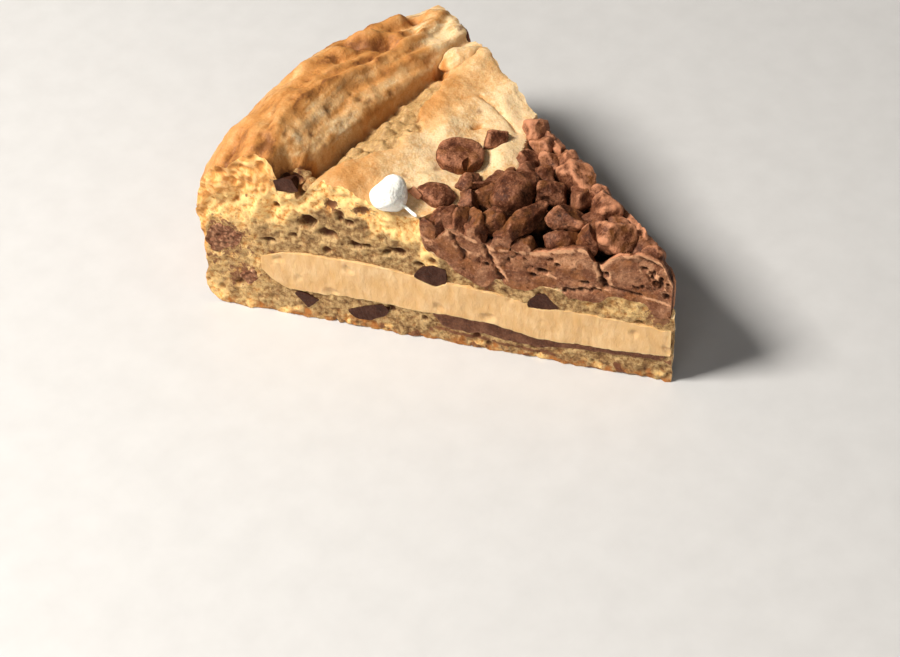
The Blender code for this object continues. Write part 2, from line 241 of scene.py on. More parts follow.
def lattice(shape: tuple[int, int, int]) -> Pair:
    """The outside of a lattice of corners.

    Args:
        shape: how many corners the lattice has along each of its three sides.

    Returns:
        The corners on its six sides, each from 0 to 1 along every side, and the triangles, facing out.
    """
    index = np.full(shape, -1)
    steps = np.indices(shape)
    ends = np.array(shape).reshape(3, 1, 1, 1) - 1
    outside = ((steps == 0) | (steps == ends)).any(0)
    index[outside] = np.arange(outside.sum())
    corners = steps[:, outside].T / (np.array(shape) - 1.0)
    quads = []
    for axis in range(3):
        for end in (0, -1):
            sheet = np.take(index, end, axis=axis)
            quad = quads_of(sheet)
            quads.append(quad[:, ::-1] if (end == 0) != (axis == 1) else quad)
    faces = np.vstack(quads)
    return corners, np.vstack([faces[:, [0, 1, 2]], faces[:, [0, 2, 3]]])


def ball(steps: int) -> Pair:
    """Directions over a ball, from a cube whose faces are pushed out evenly, and the triangles."""
    corners, triangles = lattice((steps + 1,) * 3)
    spread = np.tan((corners * 2 - 1) * math.pi / 4)
    return spread / np.linalg.norm(spread, axis=1, keepdims=True), triangles


def tent(sheet: Array, apex: Array) -> Pair:
    """A closed tool: a sheet of points, with its border joined to one far corner.

    Args:
        sheet: points in rows and columns, the last axis of length 3.
        apex: the far corner, on the side that the tool fills.

    Returns:
        The points and the triangles, facing out.
    """
    rows, columns = sheet.shape[:2]
    index = np.arange(rows * columns).reshape(rows, columns)
    quads = quads_of(index)
    border = np.concatenate([index[:-1, 0], index[-1, :-1], index[:0:-1, -1], index[0, :0:-1]])
    top = np.full(len(border), rows * columns)
    fan = np.stack([np.roll(border, -1), border, top], 1)
    points = np.vstack([sheet.reshape(-1, 3), apex])
    triangles = np.vstack([quads[:, [0, 1, 2]], quads[:, [0, 2, 3]], fan])
    first, second, third = (points[triangles[:, corner]] for corner in range(3))
    volume = (first * np.cross(second, third)).sum()
    return points, triangles if volume > 0 else triangles[:, ::-1]


def outward(points: Array, triangles: Array) -> Array:
    """Direction of the surface at each point: the mean of its triangles' directions, by area."""
    first, second, third = (points[triangles[:, corner]] for corner in range(3))
    area = np.cross(second - first, third - first)
    total = np.zeros_like(points)
    for corner in range(3):
        for axis in range(3):
            total[:, axis] += np.bincount(triangles[:, corner], area[:, axis], len(points))
    return total / np.maximum(np.linalg.norm(total, axis=1, keepdims=True), 1e-12)


def body(name: str, points: Array, triangles: Array, finish: Material, **marks: Array) -> Object:
    """An object in the scene with a mesh of these points and triangles.

    Args:
        name: the object's name.
        points: corners in mm.
        triangles: three corners each, facing out.
        finish: the material.
        marks: a value for each corner, kept in the mesh under each name.

    Returns:
        The object, at the origin.
    """
    mesh = bpy.data.meshes.new(name)
    mesh.vertices.add(len(points))
    mesh.vertices.foreach_set("co", (points * MM).astype(np.float32).ravel())
    mesh.loops.add(3 * len(triangles))
    mesh.loops.foreach_set("vertex_index", triangles.astype(np.int32).ravel())
    mesh.polygons.add(len(triangles))
    mesh.polygons.foreach_set("loop_start", np.arange(0, 3 * len(triangles), 3, dtype=np.int32))
    mesh.update(calc_edges=True)
    mesh.materials.append(finish)
    mark(mesh, **marks)
    made = bpy.data.objects.new(name, mesh)
    bpy.context.scene.collection.objects.link(made)
    return made


def mark(mesh: Mesh, **marks: Array) -> None:
    """Keep values for each corner of a mesh, under names that a finish can read."""
    for label, values in marks.items():
        kept = mesh.attributes.get(label) or mesh.attributes.new(label, "FLOAT", "POINT")
        kept.data.foreach_set("value", np.asarray(values, np.float32))


def corners_of(mesh: Mesh) -> Array:
    """The corners of a mesh, in mm."""
    found = np.zeros(3 * len(mesh.vertices), np.float32)
    mesh.vertices.foreach_get("co", found)
    return found.reshape(-1, 3).astype(float) / MM


def shape_with(target: Object, how: Cut, tools: Sequence[Object]) -> None:
    """Cut or fuse a body with others, one after another, and use them up.

    Args:
        target: the body that changes.
        how: what the tools do to it.
        tools: closed bodies.
    """
    for tool in tools:
        step = target.modifiers.new(tool.name, "BOOLEAN")
        step.operation = how.value
        step.solver = "MANIFOLD"
        step.material_mode = "TRANSFER"
        step.object = tool
        graph = bpy.context.evaluated_depsgraph_get()
        mesh = bpy.data.meshes.new_from_object(target.evaluated_get(graph))
        target.modifiers.clear()
        old = target.data
        target.data = mesh
        used = tool.data
        bpy.data.objects.remove(tool)
        bpy.data.meshes.remove(used)
        bpy.data.meshes.remove(old)


def edges_of(mesh: Mesh) -> Array:
    """The two corner numbers of each edge of a mesh, in two rows."""
    found = np.zeros(2 * len(mesh.edges), np.int32)
    mesh.edges.foreach_get("vertices", found)
    return found.reshape(-1, 2).T


def loose_parts(mesh: Mesh) -> Array:
    """Number of the connected part that each corner of a mesh belongs to.

    Each corner starts with its own number and takes the lowest one among its neighbours, over and over, with
    the numbers of numbers followed in between, until nothing changes.
    """
    first, second = edges_of(mesh)
    label = np.arange(len(mesh.vertices))
    while True:
        lowest = np.minimum(label[first], label[second])
        fresh = label.copy()
        np.minimum.at(fresh, first, lowest)
        np.minimum.at(fresh, second, lowest)
        fresh = fresh[fresh]
        if (fresh == label).all():
            return label
        label = fresh


def drop_scraps(target: Object, fewest: int = 60) -> None:
    """Delete the loose scraps that a cut has left: connected parts with fewer corners than this."""
    label = loose_parts(target.data)
    names, counts = np.unique(label, return_counts=True)
    scraps = np.isin(label, names[counts < fewest])
    if not scraps.any():
        return
    mesh = target.data
    mesh.vertices.foreach_set("select", scraps)
    mesh.update()
    bpy.context.view_layer.objects.active = target
    bpy.ops.object.mode_set(mode="EDIT")
    bpy.context.tool_settings.mesh_select_mode = (True, False, False)
    bpy.ops.mesh.select_all(action="DESELECT")
    bpy.ops.object.mode_set(mode="OBJECT")
    mesh.vertices.foreach_set("select", scraps)
    bpy.ops.object.mode_set(mode="EDIT")
    bpy.ops.mesh.delete(type="VERT")
    bpy.ops.object.mode_set(mode="OBJECT")


def bulge(mesh: Mesh, rounds: int = 3) -> Array:
    """How far each corner stands out from its neighbours: edges above 0, hollows below, in about -1 to 1."""
    points = corners_of(mesh)
    first, second = edges_of(mesh)
    size = len(points)
    count = np.maximum(np.bincount(first, minlength=size) + np.bincount(second, minlength=size), 1)

    def around(values: Array) -> Array:
        """Mean of the values at each corner's neighbours."""
        return (np.bincount(first, values[second], size) + np.bincount(second, values[first], size)) / count

    middle = np.stack([around(points[:, axis]) for axis in range(3)], 1)
    directions = np.zeros(3 * len(points), np.float32)
    mesh.vertices.foreach_get("normal", directions)
    out = ((points - middle) * directions.reshape(-1, 3)).sum(1)
    for _ in range(rounds):
        out = 0.5 * (out + around(out))
    return np.clip(out / 0.09, -1.0, 1.0)


def soften_shading(target: Object, crease: float) -> None:
    """Shade smoothly, with sharp edges where faces meet at more than the crease angle in degrees."""
    mesh = target.data
    mesh.shade_smooth()
    mesh.set_sharp_from_angle(angle=math.radians(crease))


class Board:
    """A material and short ways to add and wire its nodes. Sizes are in mm on the object."""

    def __init__(self, name: str) -> None:
        """Start a material of this name with its shader."""
        self.material = bpy.data.materials.new(name)
        self.material.use_nodes = True
        self.tree = self.material.node_tree
        self.shader = self.tree.nodes["Principled BSDF"]
        self.place = self.tree.nodes.new("ShaderNodeTexCoord").outputs["Object"]

    def wire(self, source: object, socket: Socket) -> None:
        """Feed a socket from another, or set its constant."""
        if isinstance(source, Socket):
            self.tree.links.new(source, socket)
        elif socket.type == "RGBA" and len(source) == 3:
            socket.default_value = (*source, 1.0)
        else:
            socket.default_value = source

    def grain(self, size: float, detail: float = 3.0, rough: float = 0.55, stretch: Triple = (1.0, 1.0, 1.0),
              warp: float = 0.0) -> Socket:
        """Noise with lumps of this size, on the object's own coordinates."""
        mapping = self.tree.nodes.new("ShaderNodeMapping")
        self.wire(self.place, mapping.inputs["Vector"])
        mapping.inputs["Scale"].default_value = stretch
        node = self.tree.nodes.new("ShaderNodeTexNoise")
        self.wire(mapping.outputs["Vector"], node.inputs["Vector"])
        node.inputs["Scale"].default_value = 1.0 / (size * MM)
        node.inputs["Detail"].default_value = detail
        node.inputs["Roughness"].default_value = rough
        node.inputs["Distortion"].default_value = warp
        return node.outputs["Fac"]

    def pebbles(self, size: float) -> Socket:
        """Distance to scattered points this far apart, on the object's own coordinates."""
        node = self.tree.nodes.new("ShaderNodeTexVoronoi")
        self.wire(self.place, node.inputs["Vector"])
        node.inputs["Scale"].default_value = 1.0 / (size * MM)
        return node.outputs["Distance"]

    def value(self, label: str) -> Socket:
        """A value that the mesh keeps for each corner."""
        node = self.tree.nodes.new("ShaderNodeAttribute")
        node.attribute_name = label
        return node.outputs["Fac"]

    def span(self, source: Socket, low: float, high: float, to_low: float = 0.0,
             to_high: float = 1.0) -> Socket:
        """Map a span of values to another, held at its ends."""
        node = self.tree.nodes.new("ShaderNodeMapRange")
        self.wire(source, node.inputs["Value"])
        for label, number in (("From Min", low), ("From Max", high), ("To Min", to_low), ("To Max", to_high)):
            node.inputs[label].default_value = number
        return node.outputs["Result"]

    def sway(self, source: Socket, amount: float, low: float = 0.3, high: float = 0.7) -> Socket:
        """Map a span of values evenly to both sides of 0."""
        return self.span(source, low, high, -amount, amount)

    def join(self, first: object, second: object, how: str) -> Socket:
        """Add or multiply two values."""
        node = self.tree.nodes.new("ShaderNodeMath")
        node.operation = how
        self.wire(first, node.inputs[0])
        self.wire(second, node.inputs[1])
        return node.outputs["Value"]

    def sum(self, first: object, *others: object) -> Socket:
        """Add values, one after another."""
        for other in others:
            first = self.join(first, other, "ADD")
        return first

    def times(self, first: object, second: object) -> Socket:
        """Multiply two values."""
        return self.join(first, second, "MULTIPLY")

    def blend(self, share: object, first: object, second: object) -> Socket:
        """Blend two colours by a share."""
        node = self.tree.nodes.new("ShaderNodeMix")
        node.data_type = "RGBA"
        self.wire(share, node.inputs["Factor"])
        self.wire(first, node.inputs["A"])
        self.wire(second, node.inputs["B"])
        return node.outputs["Result"]

    def lay(self, under: object, over: object, source: Socket, low: float, high: float,
            most: float = 1.0) -> Socket:
        """Lay a colour over another, from none at the source's low value to the most at its high one."""
        return self.blend(self.span(source, low, high, 0.0, most), under, over)

    def ramp(self, source: Socket, stops: Sequence[tuple[float, Triple]]) -> Socket:
        """A colour for each value, through these stops."""
        node = self.tree.nodes.new("ShaderNodeValToRGB")
        while len(node.color_ramp.elements) < len(stops):
            node.color_ramp.elements.new(0.5)
        for element, (at, colour) in zip(node.color_ramp.elements, stops):
            element.position = at
            element.color = (*colour, 1.0)
        self.wire(source, node.inputs["Fac"])
        return node.outputs["Color"]

    def relief(self, layers: Sequence[tuple[Socket, float]]) -> None:
        """Bump from values times a depth in mm each, fed to the shader."""
        height = None
        for source, depth in layers:
            scaled = self.times(source, depth * MM)
            height = scaled if height is None else self.sum(height, scaled)
        node = self.tree.nodes.new("ShaderNodeBump")
        node.inputs["Distance"].default_value = 1.0
        node.inputs["Strength"].default_value = 1.0
        self.wire(height, node.inputs["Height"])
        self.wire(node.outputs["Normal"], self.shader.inputs["Normal"])

    def surface(self, colour: object, roughness: object, under: float = 0.0, spread: Triple = (1.0, 0.2, 0.1),
                depth: float = 0.0, gloss: float = 0.5) -> Material:
        """Wire the shader and give back the material.

        Args:
            colour: a colour or what gives it.
            roughness: how matte it is, 0 to 1.
            under: how much of the light goes in and comes out again, 0 to 1.
            spread: how far red, green and blue light go in, as shares of the depth.
            depth: the farthest that light goes in, mm.
            gloss: strength of the mirrored light.

        Returns:
            The finished material.
        """
        sockets = {"Base Color": colour, "Roughness": roughness, "Subsurface Weight": under,
                   "Subsurface Radius": spread, "Subsurface Scale": depth * MM, "Specular IOR Level": gloss}
        for label, source in sockets.items():
            self.wire(source, self.shader.inputs[label])
        return self.material


@dataclass(frozen=True)
class CrustFinish:
    """Baked skin: pale dough that turns golden and then brown where it caught the heat."""

    raw: Triple = (0.68, 0.41, 0.18)
    tan: Triple = (0.57, 0.270, 0.083)
    golden: Triple = (0.50, 0.205, 0.048)
    brown: Triple = (0.24, 0.085, 0.019)
    olive: Triple = (0.31, 0.18, 0.065)
    pale: Triple = (0.78, 0.56, 0.31)
    crumb: Triple = (0.58, 0.38, 0.16)
    chocolate: Triple = (0.10, 0.030, 0.013)

    def build(self) -> Material:
        """The material: toast from the mesh, broken up by noise, with crumb and chocolate marks and painted
        shade in pits, grooves and the crease over it.
        """
        board = Board("baked_crust")
        toast = board.sum(board.value("toast"), board.sway(board.grain(2.2, 5.0, 0.68), 0.15),
                          board.sway(board.grain(0.6, 2.0, 0.6), 0.06, 0.35, 0.65))
        colour = board.ramp(toast, ((0.0, self.pale), (0.15, self.raw), (0.42, self.tan), (0.70, self.golden),
                                    (1.0, self.brown)))
        torn = board.ramp(board.grain(0.9, 4.0, 0.65), ((0.38, self.olive), (0.68, self.crumb)))
        crumb = board.sum(board.value("crumbly"), board.sway(board.grain(1.3), 0.2))
        colour = board.lay(colour, torn, crumb, 0.3, 0.8, 0.85)
        # The brown laid by the pit mark is painted shade in pits, grooves and along the crease.
        colour = board.blend(board.value("pit"), colour, self.brown)
        stain = board.sum(board.value("stain"), board.sway(board.grain(0.9), 0.25))
        colour = board.lay(colour, self.chocolate, stain, 0.35, 0.8, 0.75)
        fine = board.grain(0.42, 3.0, 0.6)
        board.relief(((board.grain(1.5, 3.0, 0.55), 0.30), (fine, 0.13)))
        return board.surface(colour, board.span(fine, 0.3, 0.7, 0.55, 0.72), 0.12, (1.0, 0.5, 0.2), 1.2, 0.38)


@dataclass(frozen=True)
class CrumbFinish:
    """The torn and cut inside of the dough: grains from olive to bright yellow, orange where toasted."""

    olive: Triple = (0.285, 0.154, 0.055)
    shade: Triple = (0.115, 0.045, 0.014)
    pale: Triple = (0.57, 0.375, 0.165)
    bright: Triple = (1.0, 0.660, 0.265)
    golden: Triple = (0.82, 0.375, 0.092)
    rind: Triple = (0.56, 0.215, 0.048)
    rind_light: Triple = (1.0, 0.575, 0.22)
    toasted: Triple = (0.42, 0.145, 0.028)
    chocolate: Triple = (0.165, 0.050, 0.021)
    recess_shade: Triple = (0.09, 0.026, 0.009)

    def build(self) -> Material:
        """The material: grains lighter on top and darker between, with painted highlight and shade from what
        stands out, tinted by what the mesh keeps, and painted shade in pores and crevices.
        """
        board = Board("cut_crumb")
        grain = board.grain(1.0, 5.0, 0.68)
        fine = board.grain(0.40, 3.0, 0.7)
        cell = board.pebbles(1.1)
        edge = board.value("edge")
        # Lighter where the mesh stands out and darker in its hollows: painted highlight and shade.
        tone = board.sum(grain, board.span(cell, 0.1, 0.8, 0.03, -0.05), board.sway(fine, 0.10),
                         board.sway(board.grain(4.0, 2.0), 0.10), board.sway(edge, 0.12, -1.0, 1.0))
        colour = board.ramp(tone, ((0.22, self.shade), (0.42, self.olive), (0.66, self.pale)))
        sunny = board.ramp(tone, ((0.15, self.toasted), (0.30, self.golden), (0.49, self.bright)))
        light = board.sum(board.value("bright"), board.sway(board.grain(2.4), 0.25))
        colour = board.lay(colour, sunny, light, 0.15, 0.85)
        # The baked facets too: painted highlight where the mesh stands out, painted shade in hollows.
        facet = board.sum(board.grain(2.2, 4.0, 0.6, warp=0.8), board.sway(edge, 0.16, -1.0, 1.0))
        baked = board.ramp(facet, ((0.35, self.rind), (0.48, self.golden), (0.60, self.rind_light)))
        colour = board.lay(colour, baked, board.value("rind"), 0.0, 1.0, 0.88)
        toast = board.sum(board.value("browned"), board.sway(board.grain(1.8, 4.0), 0.45, 0.35, 0.65))
        colour = board.lay(colour, self.toasted, toast, 0.3, 1.0, 0.9)
        stain = board.sum(board.value("stain"), board.sway(grain, 0.45, 0.35, 0.65))
        colour = board.lay(colour, self.chocolate, stain, 0.38, 0.64, 0.88)
        # Painted shade in pores, crevices and bubbles of the crumb.
        colour = board.lay(colour, self.recess_shade, board.value("hollow"), 0.15, 0.9, 0.92)
        board.relief(((cell, -0.08), (grain, 0.32), (fine, 0.16)))
        return board.surface(colour, board.span(grain, 0.3, 0.7, 0.62, 0.82), 0.10, (1.0, 0.5, 0.2), 1.0, 0.3)


@dataclass(frozen=True)
class CreamFinish:
    """Smooth pale cream, smeared by the knife."""

    main: Triple = (0.70, 0.435, 0.195)
    warm: Triple = (0.66, 0.385, 0.150)
    light: Triple = (0.76, 0.51, 0.255)

    def build(self) -> Material:
        """The material: soft clouds and faint upright streaks."""
        board = Board("smooth_cream")
        streak = board.grain(1.5, 4.0, 0.6, (1.0, 1.0, 0.45))
        tone = board.sum(board.times(board.grain(5.0, 3.0, 0.5), 0.5), board.times(streak, 0.5))
        colour = board.ramp(tone, ((0.36, self.warm), (0.50, self.main), (0.64, self.light)))
        board.relief(((streak, 0.26), (board.grain(0.5, 2.0), 0.08)))
        roughness = board.span(streak, 0.3, 0.7, 0.42, 0.58)
        return board.surface(colour, roughness, 0.25, (1.0, 0.6, 0.3), 1.6, 0.4)


@dataclass(frozen=True)
class ChocolateFinish:
    """Matte broken chocolate with pale dust and painted highlights on its edges and painted shade in its
    hollows.
    """

    name: str
    main: Triple
    dust_and_highlight_colour: Triple
    dark_and_shade_colour: Triple
    roughness: tuple[float, float]
    dust_and_highlight_share: float
    gloss: float = 0.26
    warm: Triple | None = None

    def build(self) -> Material:
        """The material: tone from noise, dust and painted highlights where the mesh stands out, painted shade
        where it falls back.
        """
        board = Board(self.name)
        fine = board.grain(0.45, 3.0, 0.6)
        tone = board.sum(board.times(board.grain(3.4, 3.0, 0.6), 0.74), board.times(fine, 0.26))
        colour = board.ramp(tone, ((0.18, self.dark_and_shade_colour), (0.46, self.main), (0.88, self.dust_and_highlight_colour)))
        if self.warm:
            colour = board.lay(colour, self.warm, board.grain(5.0, 2.0), 0.50, 0.64, 0.6)
        fleck = board.grain(0.62, 3.0, 0.6)
        colour = board.lay(colour, self.dust_and_highlight_colour, fleck, 0.58, 0.72, 0.42)
        colour = board.lay(colour, self.dark_and_shade_colour, fleck, 0.40, 0.30, 0.55)
        # Dust and painted highlights where the mesh stands out, and the dark colour as painted shade in its
        # hollows.
        edge = board.sum(board.value("edge"), board.sway(fine, 0.22))
        colour = board.lay(colour, self.dust_and_highlight_colour, edge, 0.15, 0.95, self.dust_and_highlight_share)
        colour = board.lay(colour, self.dark_and_shade_colour, edge, -0.25, -1.0, 0.85)
        # Painted shade on the low places between the chunks.
        sunk = board.sum(board.value("sunk"), board.sway(board.grain(1.2), 0.15))
        colour = board.lay(colour, self.dark_and_shade_colour, sunk, 0.15, 1.0, 0.88)
        board.relief(((board.grain(1.1, 3.0, 0.6), 0.34), (fleck, 0.16)))
        roughness = board.span(fine, 0.3, 0.7, *self.roughness)
        return board.surface(colour, roughness, 0.05, (1.0, 0.4, 0.2), 0.6, self.gloss)


@dataclass(frozen=True)
class TableFinish:
    """The plain pale table."""

    colour: Triple = (0.60, 0.59, 0.58)
    shade: Triple = (0.57, 0.56, 0.55)

    def build(self) -> Material:
        """The material: an even matte grey with the faintest grain."""
        board = Board("pale_table")
        grain = board.grain(8.0, 3.0)
        colour = board.ramp(grain, ((0.3, self.shade), (0.7, self.colour)))
        return board.surface(colour, board.span(grain, 0, 1, 0.6, 0.7))


# Chocolate: name, main colour, dust and highlight colour, dark and shade colour, roughness, how much dust and
# painted highlight its edges get, gloss and a warmer cloud.
FINISHES = {
    "crust": CrustFinish(),
    "crumb": CrumbFinish(),
    "cream": CreamFinish(),
    "milk": ChocolateFinish(
        "milk_chocolate", (0.100, 0.030, 0.0125), (0.52, 0.226, 0.118), (0.008, 0.003, 0.0015),
        (0.48, 0.66), 0.95, 0.15, (0.215, 0.078, 0.020)),
    "milk_cut": ChocolateFinish(
        "milk_chocolate_cut", (0.182, 0.064, 0.028), (0.66, 0.345, 0.185), (0.040, 0.012, 0.005),
        (0.5, 0.66), 0.95, 0.18, (0.26, 0.092, 0.026)),
    "band": ChocolateFinish(
        "milk_chocolate_band", (0.105, 0.038, 0.019), (0.30, 0.135, 0.072), (0.030, 0.010, 0.005),
        (0.5, 0.66), 0.6, 0.18),
    "crushed": ChocolateFinish(
        "crushed_milk_chocolate", (0.190, 0.072, 0.036), (0.56, 0.31, 0.17), (0.040, 0.013, 0.006),
        (0.6, 0.8), 0.9, 0.15),
    "dark": ChocolateFinish(
        "dark_chocolate", (0.045, 0.014, 0.007), (0.13, 0.055, 0.035), (0.014, 0.004, 0.002),
        (0.42, 0.58), 0.5, 0.16),
    "white": ChocolateFinish(
        "white_chocolate", (0.99, 0.97, 0.88), (0.99, 0.98, 0.93), (0.97, 0.86, 0.58), (0.3, 0.42), 0.3),
}


@dataclass(frozen=True)
class Fold:
    """A ridge, or with a negative height a groove, along a straight line on the dough's top."""

    start_angle: float
    start_radius: float
    end_angle: float
    end_radius: float
    width: float
    height: float
    toast: float = 0.0

    def weight(self, radius: Array, angle: Array) -> Array:
        """Bell of the distance to the line."""
        flat = polar(radius, angle, 0.0)[..., :2]
        first = polar(self.start_radius, self.start_angle, 0.0)[:2]
        last = polar(self.end_radius, self.end_angle, 0.0)[:2]
        return beside(flat, first, last, self.width)


@dataclass(frozen=True)
class Pore:
    """A hollow in a cut face: its place and half sizes along the cut and up, and how deep it goes."""

    radius: float
    height: float
    half_length: float
    half_height: float
    depth: float
    stain: float = 0.0

    def away(self, radius: Array, height: Array) -> Array:
        """Distance from the middle, in half sizes."""
        return np.hypot((radius - self.radius) / self.half_length, (height - self.height) / self.half_height)

    def weight(self, radius: Array, height: Array, wobble: Array) -> Array:
        """A flat-bottomed bell over the ellipse, its outline shifted by the wobble."""
        return bell((self.away(radius, height) * (1 + wobble)) ** 2)


@dataclass(frozen=True)
class Groove:
    """A crack, or with no depth a pale line, between two places in a cut face."""

    start_radius: float
    start_height: float
    end_radius: float
    end_height: float
    width: float
    depth: float = 0.0

    def weight(self, radius: Array, height: Array) -> Array:
        """Bell of the distance to the line."""
        first = np.array([self.start_radius, self.start_height])
        last = np.array([self.end_radius, self.end_height])
        return beside(np.stack([radius, height], -1), first, last, self.width)


def all_of(kind: type, rows: Table) -> tuple:
    """One of a kind for each row of its values."""
    return tuple(kind(*row) for row in rows)


# Ridges and grooves of the skin: start and end as angle and radius, half width, height and browning.
FOLDS = all_of(Fold, (
    (7, 99.6, -1, 98.4, 2.2, -0.9, 0.10), (-1.5, 97.8, -9.4, 95.4, 1.9, -2, 0.18),
    (-12.6, 99.2, -16.4, 99.4, 1.9, -2, 0.18), (-4.6, 101.4, -5.8, 100.4, 1.7, -1.9, 0.30),
    (3, 104, -3, 102.5, 3, 1.3), (-7.4, 100.6, -9, 98.6, 1.9, 1.7),
    (-10.5, 103, -14, 101.5, 2.6, 1.5), (-10, 107.6, -11, 107, 2.2, -1.6),
    (-15.4, 108.6, -16, 108.2, 2.2, -1.6), (0.4, 107.6, -0.4, 107.4, 2, -1.3),
    (11.6, 107.8, 12.6, 107.8, 2.4, -1.2), (21.6, 102, 20, 102.5, 3, -1.4),
    (21.6, 108, 15, 107.5, 3.6, 0.9), (-21.6, 104.5, -19, 105, 3.4, -1),
    (21.6, 91.2, 19.6, 90.4, 1.9, -3.6), (16, 91.5, 9, 90, 3.2, 1, -0.15),
    (-21.6, 90.8, -16, 89, 2.4, 0.6, -0.1), (-14, 62, -21, 66, 4.5, 0.9, -0.1),
    (12, 70, -4, 71, 5, 0.6, -0.1), (22.5, 104.8, 16.9, 103.6, 1.5, -1.7, 0.38),
    (21.6, 97.2, 18.6, 96, 1.4, -1.5, 0.35), (22, 101, 17, 100.2, 1.8, 0.9, -0.1),
    (-5.6, 99.2, -6.8, 98.6, 1.6, -1.6, 0.26), (-8.6, 96.6, -9.8, 95.2, 1.7, -1.5, 0.26),
    (-16, 101.4, -17, 100.4, 1.3, -1.5, 0.3), (-6.8, 102, -8.8, 99.6, 1.6, 1.1, 0.1),
    (-15, 101.6, -18.6, 99.4, 2, 0.9, 0.1), (4, 94.2, -5, 91.4, 1, 0.75, 0.35),
    (-5, 91.4, -15.2, 93.6, 1, 0.85, 0.30), (-15.2, 93.6, -20.4, 97.6, 1.3, 0.7, 0.22),
    (-4.7, 88.8, -10, 87.9, 1.1, 0.65, 0.30), (-10, 87.9, -17, 89.2, 1.2, 0.7, 0.20),
    (-10.6, 90.2, -15, 90.8, 0.8, -0.7, 0.10), (-3, 85.4, -9, 85.2, 0.8, 0.45, 0.22),
    (2, 90.6, -6, 88, 0.9, -0.5, 0.30), (10, 96, 2.5, 93.6, 1.4, 0.5, 0.30),
    (14.5, 91, 6.5, 89, 1, -0.45, 0.22), (9, 87, 0, 85.4, 1.3, 0.45, -0.05),
    (6, 84.6, -3, 83.6, 0.9, -0.4, 0.12), (16.3, 86.6, 19.4, 89.2, 0.9, -2.4, 0.9),
    (19.4, 89.4, 21.6, 92, 1.3, -2.6, 0.9), (-13.4, 83.6, -14.6, 85, 1, -2, 0.6),
    (-12.6, 80.6, -13.6, 83.4, 0.9, -1.3, 0.3), (-13.8, 69.7, -14.8, 63.5, 0.5, -0.55, 0.20),
    (-14.8, 63.5, -14.4, 57, 0.5, -0.6, 0.20), (-10.4, 71.6, -13.8, 70, 0.5, -0.35, 0.16),
    (-7.2, 63.6, -8.8, 62.9, 0.55, -1.1, 0.35), (-9.6, 54.4, -5.6, 52.8, 3.6, 1.9, -0.25),
    (-16.8, 77, -20.6, 79.6, 2.2, 0.5, -0.1), (4, 96.2, -5, 93.5, 0.9, -0.7, 0.32),
    (-5, 93.5, -14.5, 95.4, 0.9, -0.8, 0.32), (8.5, 62, 14, 63, 4, 0.7, -0.1),
    (3, 66, -7, 67, 4, 0.5, -0.05), (5.8, 61.4, 9.4, 62.6, 0.7, -0.4, 0.12),
))


